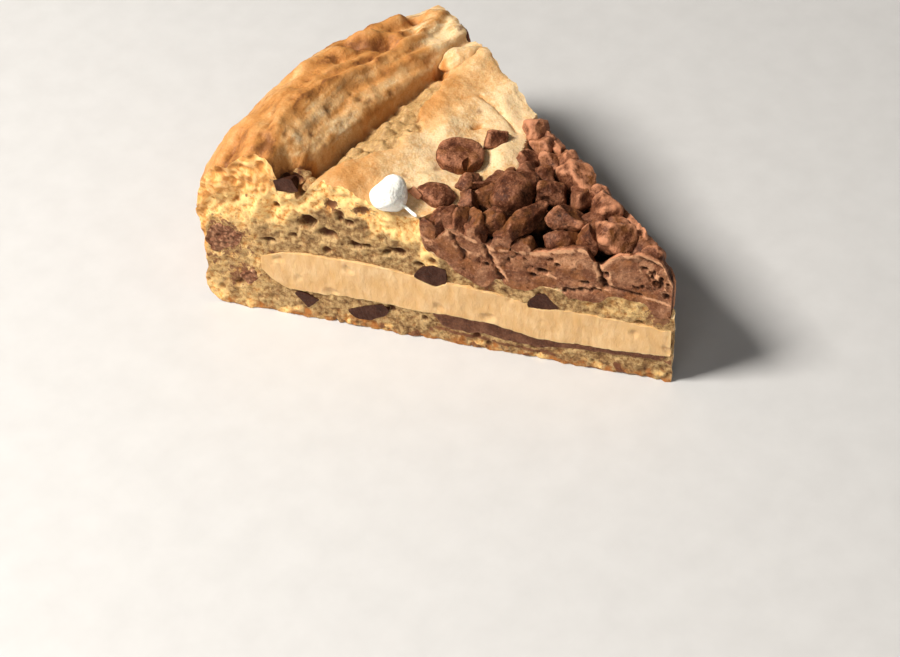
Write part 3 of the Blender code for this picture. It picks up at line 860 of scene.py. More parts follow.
@dataclass(frozen=True)
class DoughForm:
    """The dough's outside: its main lines across the slice, and the relief that lies on them."""

    lip: float = 28.0
    corner: float = 5.4
    crest_radius: Table = ((-21.6, 98.2), (-17, 96.4), (-12, 95), (0, 96), (12, 96.5), (21.6, 95.1))
    crest: Table = ((-21.6, 44.5), (-14, 45.5), (-8, 47.2), (-4, 47.9), (8, 48.2), (16, 48.4), (21.6, 47.2))
    crease_radius: Table = (
        (-21.6, 88.2), (-17.4, 86.6), (-14.4, 84.6), (-12, 82.6), (0, 82.2), (12, 83.8), (21.6, 87.6),
    )
    crease: Table = ((-21.6, 42.2), (-12, 40.2), (0, 39.2), (12, 38.8), (21.6, 38.4))
    outer: Table = ((-21.6, 44.2), (-14, 43), (-4, 41.6), (12, 41.4), (21.6, 42.6))
    inner: Table = ((-21.6, 38.6), (-12, 37.4), (0, 36.4), (12, 35.8), (21.6, 35.4))
    heap_radius: Table = (
        (-21.6, 59), (-12.6, 52), (-5, 47.2), (1, 51.6), (8, 51.4), (15, 53.8), (21.6, 60.6),
    )
    dip_near: Table = (
        (0, 19.4), (5.6, 19), (7.6, 22.2), (12.2, 23), (16.6, 22.8), (18.2, 20.5), (26, 20.3), (27.4, 22.4),
        (31.5, 22.4), (35.4, 20), (39, 20.4), (41.8, 22.4), (43.6, 20.2), (45.4, 18.9), (48, 20),
        (51.9, 21.8), (54, 24.2),
    )
    dip_far: Table = ((0, 22.3), (20, 23.4), (40, 22.2), (54, 25))
    bank: float = 17.0
    bank_shape: Table = (
        (0, 0), (1.6, 0.11), (5, 0.24), (9.2, 0.31), (12, 0.44), (15.6, 0.62), (16.6, 0.90), (17.4, 1),
    )
    trough: float = 3.4
    tuck: float = 0.9
    crease_drop: float = 1.2
    torn_edge: Table = (
        (-14, 81.5), (-10, 77), (-4.5, 76), (0, 72), (2, 70.8), (5.6, 72.2), (9, 73.4), (13.6, 76.2),
        (15.5, 81), (21.6, 85.2),
    )
    folds: tuple[Fold, ...] = FOLDS
    pits: Table = (
        (1.3, 85.9), (1.9, 87.5), (-8.9, 91.8), (-6.7, 100), (-16.4, 100.8), (13.2, 89.5), (0.7, 85.8),
        (-14.4, 82.6), (10.2, 97.2), (5, 98.6), (-12.6, 95.4), (-3.4, 84.6), (7.4, 90.6), (-1, 62.4),
        (2.6, 60.2), (-4, 59.6), (12.6, 66.8), (-11.2, 66), (16.5, 93.4), (18.2, 98.2),
    )

    def room(self, radius: Array, angle: Array) -> Array:
        """1 on the open top and 0 in the dip, with a short step between."""
        return smooth((radius - along(self.heap_radius, angle) + 2.0) / 2.4)

    def main_height(self, radius: Array, angle: Array) -> Array:
        """Height of the main lines.

        Outside the crest it is a quarter ellipse down to the lip. Inside it, a rounded flank falls to the
        crease, the level top layer slopes down to the heap, and a bank leads to the floor of the dip.
        """
        crest_at, crest = along(self.crest_radius, angle), along(self.crest, angle)
        crease_at, crease = along(self.crease_radius, angle), along(self.crease, angle)
        heap_at = along(self.heap_radius, angle)
        outer, inner = along(self.outer, angle), along(self.inner, angle)
        share = np.clip((radius - crest_at) / (WALL_RADIUS - crest_at), 0.0, 1.0)
        outside = self.lip + (crest - self.lip) * np.sqrt(1 - share**2)
        share = np.clip((crest_at - radius) / (crest_at - crease_at), 0.0, 1.0)
        step = smooth((1 - share) / 0.12)
        flank = crease + (crest - crease) * (0.05 * step + 0.95 * (1 - share**1.15))
        share = (radius - heap_at) / (crease_at - heap_at)
        level = inner + (outer - inner) * smooth(share * 1.15)
        level += (crease - level) * bell((crease_at - radius) / self.trough)
        drop = self.crease_drop * bell((crease_at - radius) / 1.1)
        level -= drop
        flank -= drop
        toward_near = smooth((angle + HALF_ANGLE) / (2 * HALF_ANGLE))
        floor = along(self.dip_near, radius, 0.8) * toward_near
        floor += along(self.dip_far, radius, 0.8) * (1 - toward_near)
        lift = along(self.bank_shape, radius - heap_at + self.bank, 0.6) ** (1 + 1.6 * toward_near**3)
        dip = floor + (inner - floor) * lift
        chosen = (radius >= crest_at, radius >= crease_at, radius >= heap_at)
        return np.select(chosen, (outside, flank, level), dip)

    def torn(self, radius: Array, angle: Array) -> Array:
        """1 on the crumbly strip between the crease and the skin's torn edge."""
        flat = polar(radius, angle, 0.0)
        edge = along(self.torn_edge, angle) + 1.5 * layered(flat, 4.0, 21)
        shut = smooth((angle + 13.0) / 3.0)
        inside = smooth((along(self.crease_radius, angle) + 1.4 - radius) / 0.8)
        return smooth((radius - edge) / 0.9) * inside * shut

    def height(self, radius: Array, angle: Array) -> Array:
        """Height of the top with its folds, lumps, torn strip and broken edges at the cuts."""
        flat = polar(radius, angle, 0.0)
        open_top = self.room(radius, angle)
        total = self.main_height(radius, angle)
        edge = smooth((WALL_RADIUS - radius) / 3.0)
        relief = 0.75 * rippled(flat, 9.0, 3) + 0.40 * rippled(flat, 4.2, 4)
        for fold in self.folds:
            relief += fold.height * fold.weight(radius, angle)
        bent = flat + 0.6 * layered(flat, 2.5, 22)[..., None]
        near, _, _ = grains(bent, 3.3, 5)
        finer, _, _ = grains(bent, 1.5, 7)
        torn = self.torn(radius, angle)
        relief += torn * (2.9 * np.maximum(0.50 - near, -0.25) + 0.65 * (0.5 - finer) - 1.2)
        to_cut = radius * np.sin(np.radians(np.clip(HALF_ANGLE - np.abs(angle), 0, 40)))
        coarse, _, _ = grains(flat, 2.4, 6)
        relief -= smooth(1 - to_cut / 1.8) * (0.15 + 0.9 * np.clip(coarse - 0.25, 0, 1))
        total += relief * open_top * edge
        return total + (1 - open_top) * 0.5 * layered(flat, 3.4, 8)

    def wall_bulge(self, angle: Array, height: Array) -> Array:
        """How far the baked wall stands in or out: a belt, uneven lumps and nothing at its ends."""
        band = smooth((height - self.corner) / 4.0) * smooth((self.lip + 6.0 - height) / 8.0)
        place = polar(WALL_RADIUS, angle, height)
        belt = 0.5 * np.sin(height / 3.6) - 0.5
        return band * (belt + 0.8 * rippled(place, 7.0, 11) + 0.5 * rippled(place, 3.2, 12))

    def underside(self, radius: Array) -> Array:
        """Height of the underside: flat, with a rounded outer corner that runs on steeply past the wall."""
        share = np.clip((radius - WALL_RADIUS + self.corner) / self.corner, 0.0, 1.0)
        return self.corner * (1 - np.sqrt(1 - share**2)) + 3.5 * np.maximum(radius - WALL_RADIUS, 0.0)

    def skin(self, radius: Array, angle: Array, height: Array) -> Pair:
        """Fine relief of the baked skin.

        Wrinkles are noise stretched eight times along the rim, folded into ridges; the wall is grainy; a few
        grooves follow the noise's own zero lines, and small pits are scattered.

        Args:
            radius: radii in mm.
            angle: angles in degrees.
            height: heights in mm.

        Returns:
            How far the skin stands out along its own direction, in mm, and where shade is painted: pits,
            along the crease, and darker grooves, partly browning and partly painted shade.
        """
        place = polar(radius, angle, height)
        arc = np.radians(angle) * 95.0
        stretched = np.stack([arc * 0.13, radius + 0.05 * arc, height], -1)
        stretched = stretched + 0.9 * layered(place, 13.0, 30)[..., None]
        rim = smooth((radius - along(self.crease_radius, angle) - 0.5) / 2.5)
        wall = smooth((self.lip + 8.0 - height) / 10.0) * rim
        streak = rippled(stretched, 2.3, 31)
        ridge = 1 - 2.2 * np.abs(streak)
        calm = smooth(0.55 + 0.9 * rippled(place, 15.0, 32))
        outer = smooth((radius - along(self.crest_radius, angle) - 1.0) / 3.0)
        relief = rim * (1 - wall) * (0.34 * ridge * (0.35 + 0.65 * calm) + 0.42 * rippled(place, 4.6, 33))
        relief += rim * (0.26 * rippled(place, 2.3, 45) + 0.11 * rippled(place, 1.15, 46))
        relief += rim * outer * (1 - 0.5 * wall) * 0.85 * rippled(place, 6.8, 47)
        groove = bell(rippled(stretched, 4.2, 34) / 0.05) * smooth(rippled(place, 12.0, 35) * 3.0)
        relief -= 0.55 * groove * rim * (1 - 0.6 * wall)
        near, _, _ = grains(place, 2.6, 36)
        relief += wall * (0.45 * (0.6 - near) + 0.35 * layered(place, 5.0, 37))
        relief += (1 - rim) * (0.20 * layered(place, 5.0, 38) + 0.07 * rippled(place, 1.4, 39))
        gap, _, chance = grains(place, 4.4, 40)
        pit = bell(gap / (0.07 + 0.09 * chance)) * (chance > 0.45)
        for pit_angle, pit_radius in self.pits:
            away = np.linalg.norm(place[..., :2] - polar(pit_radius, pit_angle, 0.0)[:2], axis=-1)
            pit = np.maximum(pit, bell(away / 0.62) * (height > 33))
        relief -= 0.6 * pit * (0.4 + 0.6 * rim)
        # Painted shade along the crease under the roll, added to that in the pits and grooves.
        crease = bell((radius - along(self.crease_radius, angle) - 0.2) / 0.8)
        crease *= smooth((height - self.lip) / 4.0)
        return relief * self.room(radius, angle), np.clip(pit + 0.7 * groove * rim + 0.75 * crease, 0, 1)

    def toast(self, radius: Array, angle: Array, height: Array) -> Array:
        """How far the skin is browned, 0 to 1: ridges, hollows and the wall most, the level top least; in the
        grooves the browning is partly painted shade.
        """
        place = polar(radius, angle, height)
        rim = smooth((radius - along(self.crease_radius, angle) + 0.5) / 3.0)
        wall = smooth((self.lip + 6.0 - height) / 14.0) * rim
        arc = np.radians(angle) * 95.0
        stretched = np.stack([arc * 0.16, radius, height], -1)
        fine = rippled(stretched * np.array([1.0, 1.0, 0.6]), 1.5, 48)
        total = 0.16 + rim * (0.24 + 0.24 * layered(stretched, 3.6, 41) + 0.18 * layered(place, 12.0, 42))
        lines = np.maximum(0.22 - np.abs(fine), 0.0) / 0.22
        total += rim * 0.38 * lines * smooth(0.4 + 2.0 * rippled(place, 8.0, 49))
        total -= 0.42 * rim * smooth((-angle - 10.5) / 5.0)
        past = radius - along(self.crest_radius, angle)
        total += rim * 0.14 * bell((past - 4.0) / 6.0) - rim * 0.20 * bell((past + 9.5) / 5.0)
        total += wall * (0.22 + 0.15 * layered(place, 7.0, 43))
        total += 0.30 * smooth((7.0 - height) / 6.0) * rim
        total += (1 - rim) * (0.10 * layered(place, 9.0, 44) + 0.29 * bell((radius - 77.0) / 7.5) - 0.04)
        for at, turn, size, more in ((75.0, -5.0, 7.0, 0.12), (66.0, 10.0, 9.0, -0.10)):
            total += (1 - rim) * more * bell(np.hypot(radius - at, np.radians(angle - turn) * at) / size)
        total -= (1 - rim) * 0.15 * smooth((-angle - 9.0) / 8.0)
        # Browning along the folds; in the grooves it partly stands for their painted shade.
        for fold in self.folds:
            if fold.toast:
                total += fold.toast * fold.weight(radius, angle) * (height > self.lip)
        return np.clip(total, 0.0, 1.0)


@dataclass(frozen=True)
class KnifeCut:
    """One of the two cut planes, and sheets of relief that lie in it."""

    side: Side

    def frame(self) -> Pair:
        """Direction along the cut from the cake's middle line, and direction out of the slice."""
        turn = math.radians(HALF_ANGLE * self.side.value)
        way = np.array([-math.sin(turn), math.cos(turn), 0.0])
        out = np.array([-math.cos(turn), -math.sin(turn), 0.0]) * self.side.value
        return way, out

    def place(self, radius: Array, height: Array, out_by: Array) -> Array:
        """Points at radii along the cut, heights, and distances out of it, in mm."""
        way, out = self.frame()
        base = np.array([0.0, AXIS_Y, 0.0])
        up = np.array([0.0, 0.0, 1.0])
        radius, height, out_by = (np.asarray(part, float)[..., None] for part in (radius, height, out_by))
        return base + radius * way + height * up + out_by * out

    def distance(self, points: Array) -> Array:
        """How far points lie inside the cut, in mm."""
        _, out = self.frame()
        return -((points - np.array([0.0, AXIS_Y, 0.0])) @ out)

    def trim(self, piece: Object, radii: Array, heights: Array, relief: PairAt, finish: Material) -> None:
        """Cut off all of a piece that lies outside the plane, and leave the relief on the cut face.

        Args:
            piece: what is cut.
            radii: stations along the cut, in mm.
            heights: stations upward, in mm.
            relief: gives how far the face stands out, in mm, and how hollow it is, for radii and heights.
            finish: the material that the cut face gets.
        """
        radius, height = np.meshgrid(radii, heights, indexing="ij")
        out_by, hollow = relief(radius, height)
        apex = self.place(radii.mean(), heights.mean(), TOOL_REACH)
        points, triangles = tent(self.place(radius, height, out_by), apex)
        knife = body("knife", points, triangles, finish, hollow=np.append(hollow.ravel(), 0.0))
        shape_with(piece, Cut.TAKE_AWAY, [knife])


NEAR = KnifeCut(Side.NEAR)
FAR = KnifeCut(Side.FAR)


def stations(low: float, high: float, step: float) -> Array:
    """Places from low to high at about this step, with one more well beyond each end."""
    count = max(2, round((high - low) / step) + 1)
    return np.concatenate([[low - TOOL_MARGIN], np.linspace(low, high, count), [high + TOOL_MARGIN]])


def layer_block(name: str, finish: Material, span: PairAt, start: float, end: float,
                counts: tuple[int, int, int], wide: float, down: float = 0.0, up: float = 0.0) -> Object:
    """A closed layer: radius by angle by height, its bottom and top from the span.

    Args:
        name: the object's name.
        finish: its material.
        span: gives bottom and top heights for radii and angles.
        start: inner radius, mm.
        end: outer radius, mm.
        counts: corners along radius, angle and height.
        wide: how far it runs past both cuts, mm.
        down: how far it is grown downward, mm.
        up: how far it is grown upward, mm.

    Returns:
        The object.
    """
    corners, triangles = lattice(counts)
    radius = start + (end - start) * corners[:, 0]
    spread = HALF_ANGLE + np.minimum(np.degrees(wide / radius), 75.0)
    angle = spread * (2 * corners[:, 1] - 1)
    bottom, top = span(radius, angle)
    low = bottom - down
    high = top + up
    return body(name, polar(radius, angle, low + (high - low) * corners[:, 2]), triangles, finish)


@dataclass(frozen=True)
class Chunk:
    """A broken or moulded bit of chocolate."""

    name: str
    radius: float
    angle: float
    height: float
    half: Triple
    turn: Triple
    facets: int = 9
    hardness: float = 11.0
    steps: int = 16
    rough: float = 0.16
    taper: float = 0.0
    outline: Table = ()

    def points(self, grow: float = 0.0) -> Pair:
        """The bit's surface.

        Along each direction its radius is the soft minimum of the distances to flat facets, a power mean with
        the hardness as its power. Without facets it is a disc with rounded edges, and with an outline its
        facets stand on the outline's sides. A taper narrows it upward. Then come the half sizes, waves of
        three sizes along its own direction, the turn and the place.

        Args:
            grow: how far to push the surface out, mm.

        Returns:
            Points in mm and triangles.
        """
        draw = np.random.default_rng(sum(map(ord, self.name)) * 7 + len(self.name))
        directions, triangles = ball(self.steps)
        if self.outline:
            facing = self.outline_facing(directions)
        elif self.facets:
            facing = np.maximum(directions @ self.facet_normals(draw).T, 0.0)
            facing /= draw.uniform(0.70, 1.0, self.facets)
        else:
            facing = np.stack([np.hypot(directions[:, 0], directions[:, 1]), np.abs(directions[:, 2])], 1)
        radius = np.sum(facing**self.hardness, axis=1) ** (-1.0 / self.hardness)
        if self.outline:
            local = directions * radius[:, None]
        else:
            local = directions * np.minimum(radius, 1.22)[:, None]
            local[:, :2] *= 1 - self.taper * local[:, 2:]
            local *= np.array(self.half)
        shift = draw.uniform(0, 60, 3)
        waves = 2.2 * rippled(local + shift, 5.5, 4) + 1.4 * rippled(local + shift, 2.6, 5)
        waves += 0.9 * rippled(local + shift, 1.3, 6)
        local += outward(local, triangles) * (self.rough * waves + grow)[:, None]
        turn = np.array(Euler([math.radians(a) for a in self.turn]).to_matrix())
        return local @ turn.T + polar(self.radius, self.angle, self.height), triangles

    def outline_facing(self, directions: Array) -> Array:
        """How fast each direction reaches each side of the outline, from outward to up, and the flats."""
        corners = np.array(self.outline)
        ways = np.roll(corners, -1, axis=0) - corners
        normals = np.stack([ways[:, 1], -ways[:, 0]], 1) / np.linalg.norm(ways, axis=1, keepdims=True)
        offsets = (normals * corners).sum(1)
        sides = np.maximum(directions[:, 1:] @ (normals / offsets[:, None]).T, 0.0)
        return np.hstack([sides, np.abs(directions[:, :1]) / self.half[0]])

    def facet_normals(self, draw: np.random.Generator) -> Array:
        """Directions of the facets: each in turn is the random one that lies farthest from the rest."""
        normals = draw.normal(size=(self.facets * 12, 3))
        normals /= np.linalg.norm(normals, axis=1, keepdims=True)
        chosen = [normals[0]]
        for _ in range(self.facets - 1):
            nearest = np.max(normals @ np.array(chosen).T, axis=1)
            chosen.append(normals[np.argmin(nearest)])
        return np.array(chosen)

    def make(self, name: str, finish: Material, grow: float = 0.0) -> Object:
        """The bit as an object of this name."""
        points, triangles = self.points(grow)
        return body(name, points, triangles, finish)


def nugget(name: str, place: Triple, half: Triple, turn: Triple, facets: int = 9, hardness: float = 14.0,
           rough: float = 0.24, **more: float) -> Chunk:
    """A chunk whose half sizes run across, away from and up from the main view before its own turn."""
    turn = (turn[0], turn[1], turn[2] + VIEW_TURN)
    return Chunk(name, *place, half, turn, facets, hardness, 18, rough, **more)


# Bits on the dough and in the heap: place, half sizes, turn, facets, hardness and roughness.
DOUGH_KNOBS = tuple(nugget(*row) for row in (
    ("far_ball", (83.2, -18.4, 40.4), (6.8, 5.4, 4.5), (0, 14, 20), 10, 5, 0.26),
    ("cleft_a", (88.3, 19.4, 40.2), (2.6, 1.8, 1.7), (0, 0, 10), 9, 5, 0.3),
    ("cleft_b", (85.9, 19.9, 38.7), (2, 1.3, 1.2), (10, 0, 40), 9, 5, 0.3),
))

HEAP_CHUNKS = tuple(nugget(*row) for row in (
    ("far_top", (55, -19, 36.8), (3.8, 3.4, 3.6), (20, 15, 30), 9, 21),
    ("far_green", (50.1, -17, 36.4), (3.1, 2.9, 2.9), (-10, 5, 10), 9, 10),
    ("far_dark", (45.6, -15, 35.7), (2.7, 2.7, 2.7), (15, -20, 40), 8, 12),
    ("far_pink", (42.8, -18.4, 36.2), (2.6, 3, 2.8), (0, 20, 0)),
    ("far_slab", (37.4, -17.2, 35.6), (7, 4.3, 3.9), (8, 5, 118), 9, 18),
    ("far_end", (56, -14.2, 35.8), (2.4, 2, 2.2), (10, 25, 70), 8, 14),
    ("mid_small", (42, -7.6, 36.6), (3.3, 2.8, 3), (20, 0, -20), 8, 9),
    ("mid_low", (45.4, -6.2, 36.2), (3, 2.7, 2.9), (0, 15, 60), 9, 10),
    ("saddle_side", (48.4, -9.4, 36.2), (3.1, 2.7, 2.9), (14, -12, 20), 9, 12),
    ("mid_round", (36.6, -4.6, 36.2), (4.2, 3.2, 3.3), (-15, 10, 15), 8, 9),
    ("mid_grey", (31.6, -10.4, 35.2), (3, 3.5, 3.3), (10, -10, -15), 9, 12),
    ("big_round", (44, 4.2, 36.3), (6.5, 5, 4.5), (5, -12, 24), 9, 8, 0.16),
    ("lit_left", (29, 4.4, 34.9), (4.7, 3.5, 3.6), (-10, 14, -16), 8, 14),
    ("under_big", (37.4, 6.2, 32), (3.6, 3.2, 3), (25, -8, 50)),
    ("far_slab_low", (25.6, -14.6, 35), (5.6, 3, 3.7), (-6, 8, 112), 9, 18),
    ("far_cap", (29.4, -18.6, 35.2), (3, 2.6, 2.6), (10, 30, 30), 8, 15),
    ("large_right", (18, 1, 34.9), (4.6, 4.1, 4.5), (12, -15, -26)),
    ("mid_gap", (24.6, -3.6, 33.6), (3.6, 3.4, 3.1), (0, 20, 35)),
    ("row_a", (28.4, 14, 33), (3.9, 2.4, 2.6), (14, 4, 6), 9, 10),
    ("row_b", (22.8, 11.2, 33.9), (2.1, 2.4, 3.9), (-8, 12, 20), 8, 14),
    ("row_c", (24.6, 17, 32.6), (1.8, 1.4, 1.6), (15, -15, 10), 9, 15),
    ("diagonal", (38, 13.8, 34.9), (6.6, 2.7, 3.6), (16, -12, 40), 9, 15, 0.22),
    ("diagonal_foot", (40.6, 17.4, 33.2), (3.3, 2.4, 2.7), (10, 14, 64)),
    ("olive_a", (47.2, 17.6, 34.7), (2.9, 3.3, 3.7), (-12, 6, 12), 8, 14),
    ("olive_b", (44, 15.2, 34.8), (3.4, 2.9, 3.5), (14, 20, -18), 8, 12),
    ("slit_flake_a", (52.4, 18.6, 34.5), (3.6, 0.9, 3.4), (-28, 10, 34), 9, 18, 0.16),
    ("slit_flake_b", (50, 18.3, 34.6), (3.5, 0.9, 3.5), (-24, 6, 38), 9, 18, 0.16),
    ("left_low", (55.6, 18.4, 33.7), (3.4, 2.8, 3.2), (18, -14, 20), 9, 15),
    ("left_slab", (58.6, 20.6, 32.3), (2.6, 1.7, 3.4), (0, 24, -34), 9, 18),
    ("wedge", (51.6, 12.2, 36.2), (2.5, 2, 2.6), (-20, 24, -30), 6, 24),
    ("curl_a", (50.6, 6.2, 37.2), (2.9, 0.7, 1.8), (28, 0, -6), 9, 15, 0.10),
    ("curl_b", (48.4, 6.8, 35.8), (3.2, 2.6, 2.9), (-10, 12, 14), 8, 16),
    ("left_row_a", (52.2, 20.6, 31.8), (2.6, 2.2, 2.6), (0, 20, 10)),
    ("left_row_b", (47.2, 20.8, 31.6), (2.9, 2.2, 2.4), (15, -10, 40)),
    ("left_row_c", (41.6, 20.2, 31.8), (2.6, 2.4, 2.6), (-15, 10, -30), 8, 14),
    ("left_row_d", (35.8, 19, 31.8), (2.8, 2.4, 2.6), (10, 15, 20), 8, 14),
    ("upper_gap", (50, 1.4, 35.4), (2.9, 2.2, 2.5), (12, 8, 30), 9, 12),
    ("far_low", (11.4, -13, 33), (3.8, 3.6, 3.4), (8, 12, 120), 9, 18),
    ("tip_top", (8.4, 6, 32.4), (3.7, 3.3, 3.6), (-10, -12, 10), 9, 18),
    ("tip_far", (14.2, -12.6, 33.4), (2.7, 2.6, 3), (12, 8, 100), 9, 15),
    ("far_ledge", (20.6, -10.4, 34.4), (3.9, 2.4, 2.9), (0, 12, 112), 9, 15),
    ("far_edge", (50.4, -20.2, 35), (4.6, 2.6, 3.2), (0, 10, 118), 9, 18),
    ("upper_low", (47.8, -1.6, 35.6), (2.7, 2.2, 2.4), (12, -18, 40)),
))


@dataclass
class CookieShell:
    """The baked dough in one piece: base, wall, folded rim and top layer, torn and cut at both sides."""

    form: DoughForm
    finishes: Finishes
    counts: tuple[int, int, int] = (262, 116, 58)
    rim_share: float = 0.83
    crest_guess: float = 95.8
    blank_foot: float = -3.0
    grid: float = 0.42
    far_grid: float = 0.57
    near_pores: tuple[Pore, ...] = all_of(Pore, (
        (86.6, 29.1, 2.1, 1.9, 3.2, 0.5), (80.4, 35.5, 1.5, 1.2, 0.7, 1), (73.2, 35.4, 1.8, 1.2, 0.7, 1),
        (81.9, 26.6, 2.3, 1.2, 1.8), (76.4, 31.2, 1.3, 0.9, 1.8, 0.4), (78.6, 31.6, 0.8, 0.6, 1.3),
        (75.4, 24.5, 1.7, 0.9, 1.8, 0.4), (72.6, 25.2, 1.1, 0.6, 1.2, 0.3), (82.2, 21.7, 0.9, 0.9, 1.2, 0.3),
        (65.3, 25, 2.4, 0.9, 1.8, 0.5), (68, 24, 1, 0.7, 1.2, 0.3), (93.4, 32.4, 1.2, 0.8, 1.4, 0.2),
        (90.2, 24.6, 1, 0.7, 1, 0.1), (96.2, 22, 1.6, 0.6, 1.2, 0.4), (89.8, 39.8, 3, 2.2, 3.4, 0.6),
        (60.4, 22.4, 1.2, 0.7, 1.2, 0.2), (5.2, 20.6, 1, 1.6, 1.4, 0.3),
    ))
    knobs: tuple[Chunk, ...] = DOUGH_KNOBS
    streak: Table = ((26, 57.5), (1.9, 4))
    specks: Table = ((111.1, 14.6, 1.3), (95.6, 18.4, 1.2), (93, 18.6, 0.9), (100.2, 34.4, 1.2))
    rind_border: Table = (
        (89, 60), (91.6, 41.5), (93.1, 38.6), (94.7, 36.6), (96.8, 34.4), (102, 34.2), (108.2, 33),
        (110.5, 31), (111.4, 22), (112.2, 8), (113.4, 2),
    )
    far_pores: tuple[Pore, ...] = all_of(Pore, (
        (70.2, 33.6, 1.8, 1.2, 2.2, 0.2), (82, 26.4, 1.6, 1.1, 1.8), (95.6, 31.2, 2, 1.4, 2.4, 0.3),
        (58.4, 27.2, 1.4, 0.9, 1.6), (101.8, 18.6, 1.5, 1, 1.6), (46, 19.6, 1.2, 0.7, 1.2),
        (88.6, 4.6, 1.4, 0.8, 1.2),
    ))

    def blank(self) -> Object:
        """The dough before any cut: the top and the wall with their relief, wider than the slice."""
        corners, triangles = lattice(self.counts)
        share, across, up = corners.T
        reach = share / self.rim_share
        turn = np.clip((share - self.rim_share) / (1 - self.rim_share), 0, 1) * math.pi / 2
        plain = TIP_RADIUS + (self.crest_guess - TIP_RADIUS) * np.minimum(reach, 1.0)
        spread = HALF_ANGLE + np.minimum(np.degrees(3.0 / plain), 60.0)
        angle = spread * (2 * across - 1)
        crest_at = along(self.form.crest_radius, np.clip(angle, -HALF_ANGLE, HALF_ANGLE))
        inner = TIP_RADIUS + (crest_at - TIP_RADIUS) * np.minimum(reach, 1.0)
        radius = np.where(share <= self.rim_share, inner, crest_at + (WALL_RADIUS - crest_at) * np.sin(turn))
        top = self.form.height(radius, angle)
        height = self.blank_foot + (top - self.blank_foot) * up
        on_wall = share > 0.9999
        on_top = up > 0.9999
        crease_at = along(self.form.crease_radius, angle)
        away = (radius - crease_at - 0.4) / np.where(radius > crease_at + 0.4, 1.2, 2.4)
        tucked = radius + self.form.tuck * bell(away) * on_top
        tucked += np.where(on_wall, self.form.wall_bulge(angle, height), 0.0)
        points = polar(tucked, angle, height)
        relief, pit = self.form.skin(radius, angle, height)
        shown = on_top | on_wall
        points += outward(points, triangles) * (relief * shown)[:, None]
        return body("cookie_dough_shell", points, triangles, self.finishes["crust"], hollow=pit * shown)

    def rind(self, points: Array, radius: Array, height: Array) -> Array:
        """1 where the cut's upper outer part is baked skin folded over the crumb, 0 below a ragged border."""
        border = along(self.rind_border, radius, 0.6) + 1.1 * layered(points, 3.4, 78)
        return smooth((height - border) / 1.6)

    def grainy(self, cut: KnifeCut, radius: Array, height: Array) -> Pair:
        """Relief of the torn crumb at a cut.

        Round grains of two sizes stand on soft waves, coarse at the rim and under the top's edge and fine
        elsewhere. Pores are flat-bottomed hollows, some placed and some scattered.

        Args:
            cut: which cut.
            radius: places along the cut, mm.
            height: heights, mm.

        Returns:
            How far the face stands out, in mm, and how hollow it is, which the finish paints as shade.
        """
        seed = 60 if cut is NEAR else 80
        place = cut.place(radius, height, 0.0)
        angle = np.full(radius.shape, HALF_ANGLE * cut.side.value)
        below = self.form.height(np.abs(radius), angle) - height
        rim = smooth((radius - 87.0) / 6.0) * smooth((height - 22.0) / 8.0)
        under_edge = smooth(1.25 - below / 8.0) * smooth((radius - 56.0) / 6.0)
        base = smooth((4.0 - height) / 2.5)
        coarse = np.clip(0.30 + 0.40 * under_edge + 0.30 * rim + 0.35 * base, 0, 0.85)
        drift = np.stack([rippled(place, 2.6, seed + turn) for turn in (7, 8, 13)], -1)
        bent = place + 0.9 * drift
        big, second, _ = grains(bent, 4.4, seed)
        small, small_second, _ = grains(bent, 2.3, seed + 1)
        patch = smooth(0.5 + 1.6 * rippled(place, 5.0, seed + 9))
        out = 0.45 * rippled(place, 8.0, seed + 3) + 0.28 * rippled(place, 3.4, seed + 4)
        out += (0.26 + 0.12 * np.maximum(rim, under_edge)) * layered(place, 1.5, seed + 2)
        out += 0.10 * patch * (0.5 - small)
        out += coarse * (0.45 + 0.55 * patch) * 0.95 * (0.5 - small)
        clumped = np.maximum(rim, 0.6 * under_edge)
        lumps = 1.3 * rippled(place, 6.5, seed + 10) + 0.5 * rippled(place, 3.0, seed + 11)
        out += clumped * (lumps + 0.6 * (0.5 - big))
        crevice = smooth(1 - (second - big) / 0.20) * clumped * smooth(3.0 * rippled(place, 6.0, seed + 12))
        crevice = np.maximum(crevice, 0.5 * smooth(1 - (small_second - small) / 0.16) * coarse * patch)
        wobble = 0.35 * rippled(place, 1.6, seed + 5)
        # The hollow mark is painted shade in crevices, pores and bubbles.
        hollow = 0.30 * crevice
        out -= 0.40 * crevice
        rind = self.rind(place, radius, height) * (radius < 110.0)
        folded = 1.2 * rippled(place, 5.5, seed + 14)
        folded += 0.8 * (0.5 - np.abs(rippled(place, 3.0, seed + 15)) * 2.0)
        out += rind * (0.72 * folded + 0.30 * layered(place, 2.4, seed + 16) - 0.75 * out)
        hollow *= 1 - 0.8 * rind
        for pore in self.near_pores if cut is NEAR else self.far_pores:
            weight = pore.weight(radius, height, wobble)
            out -= pore.depth * weight
            hollow = np.maximum(hollow, weight * min(1.0, pore.depth / 1.5))
        gap, _, chance = grains(place, 4.6, seed + 6)
        bubble = bell((gap / (0.10 + 0.14 * chance) * (1 + wobble)) ** 2) * (chance > 0.5) * (1 - rim)
        out -= 1.1 * bubble
        hollow = np.maximum(hollow, 0.85 * bubble)
        return np.clip(out - 0.25, -3.6, 0.9), np.clip(hollow, 0, 1)

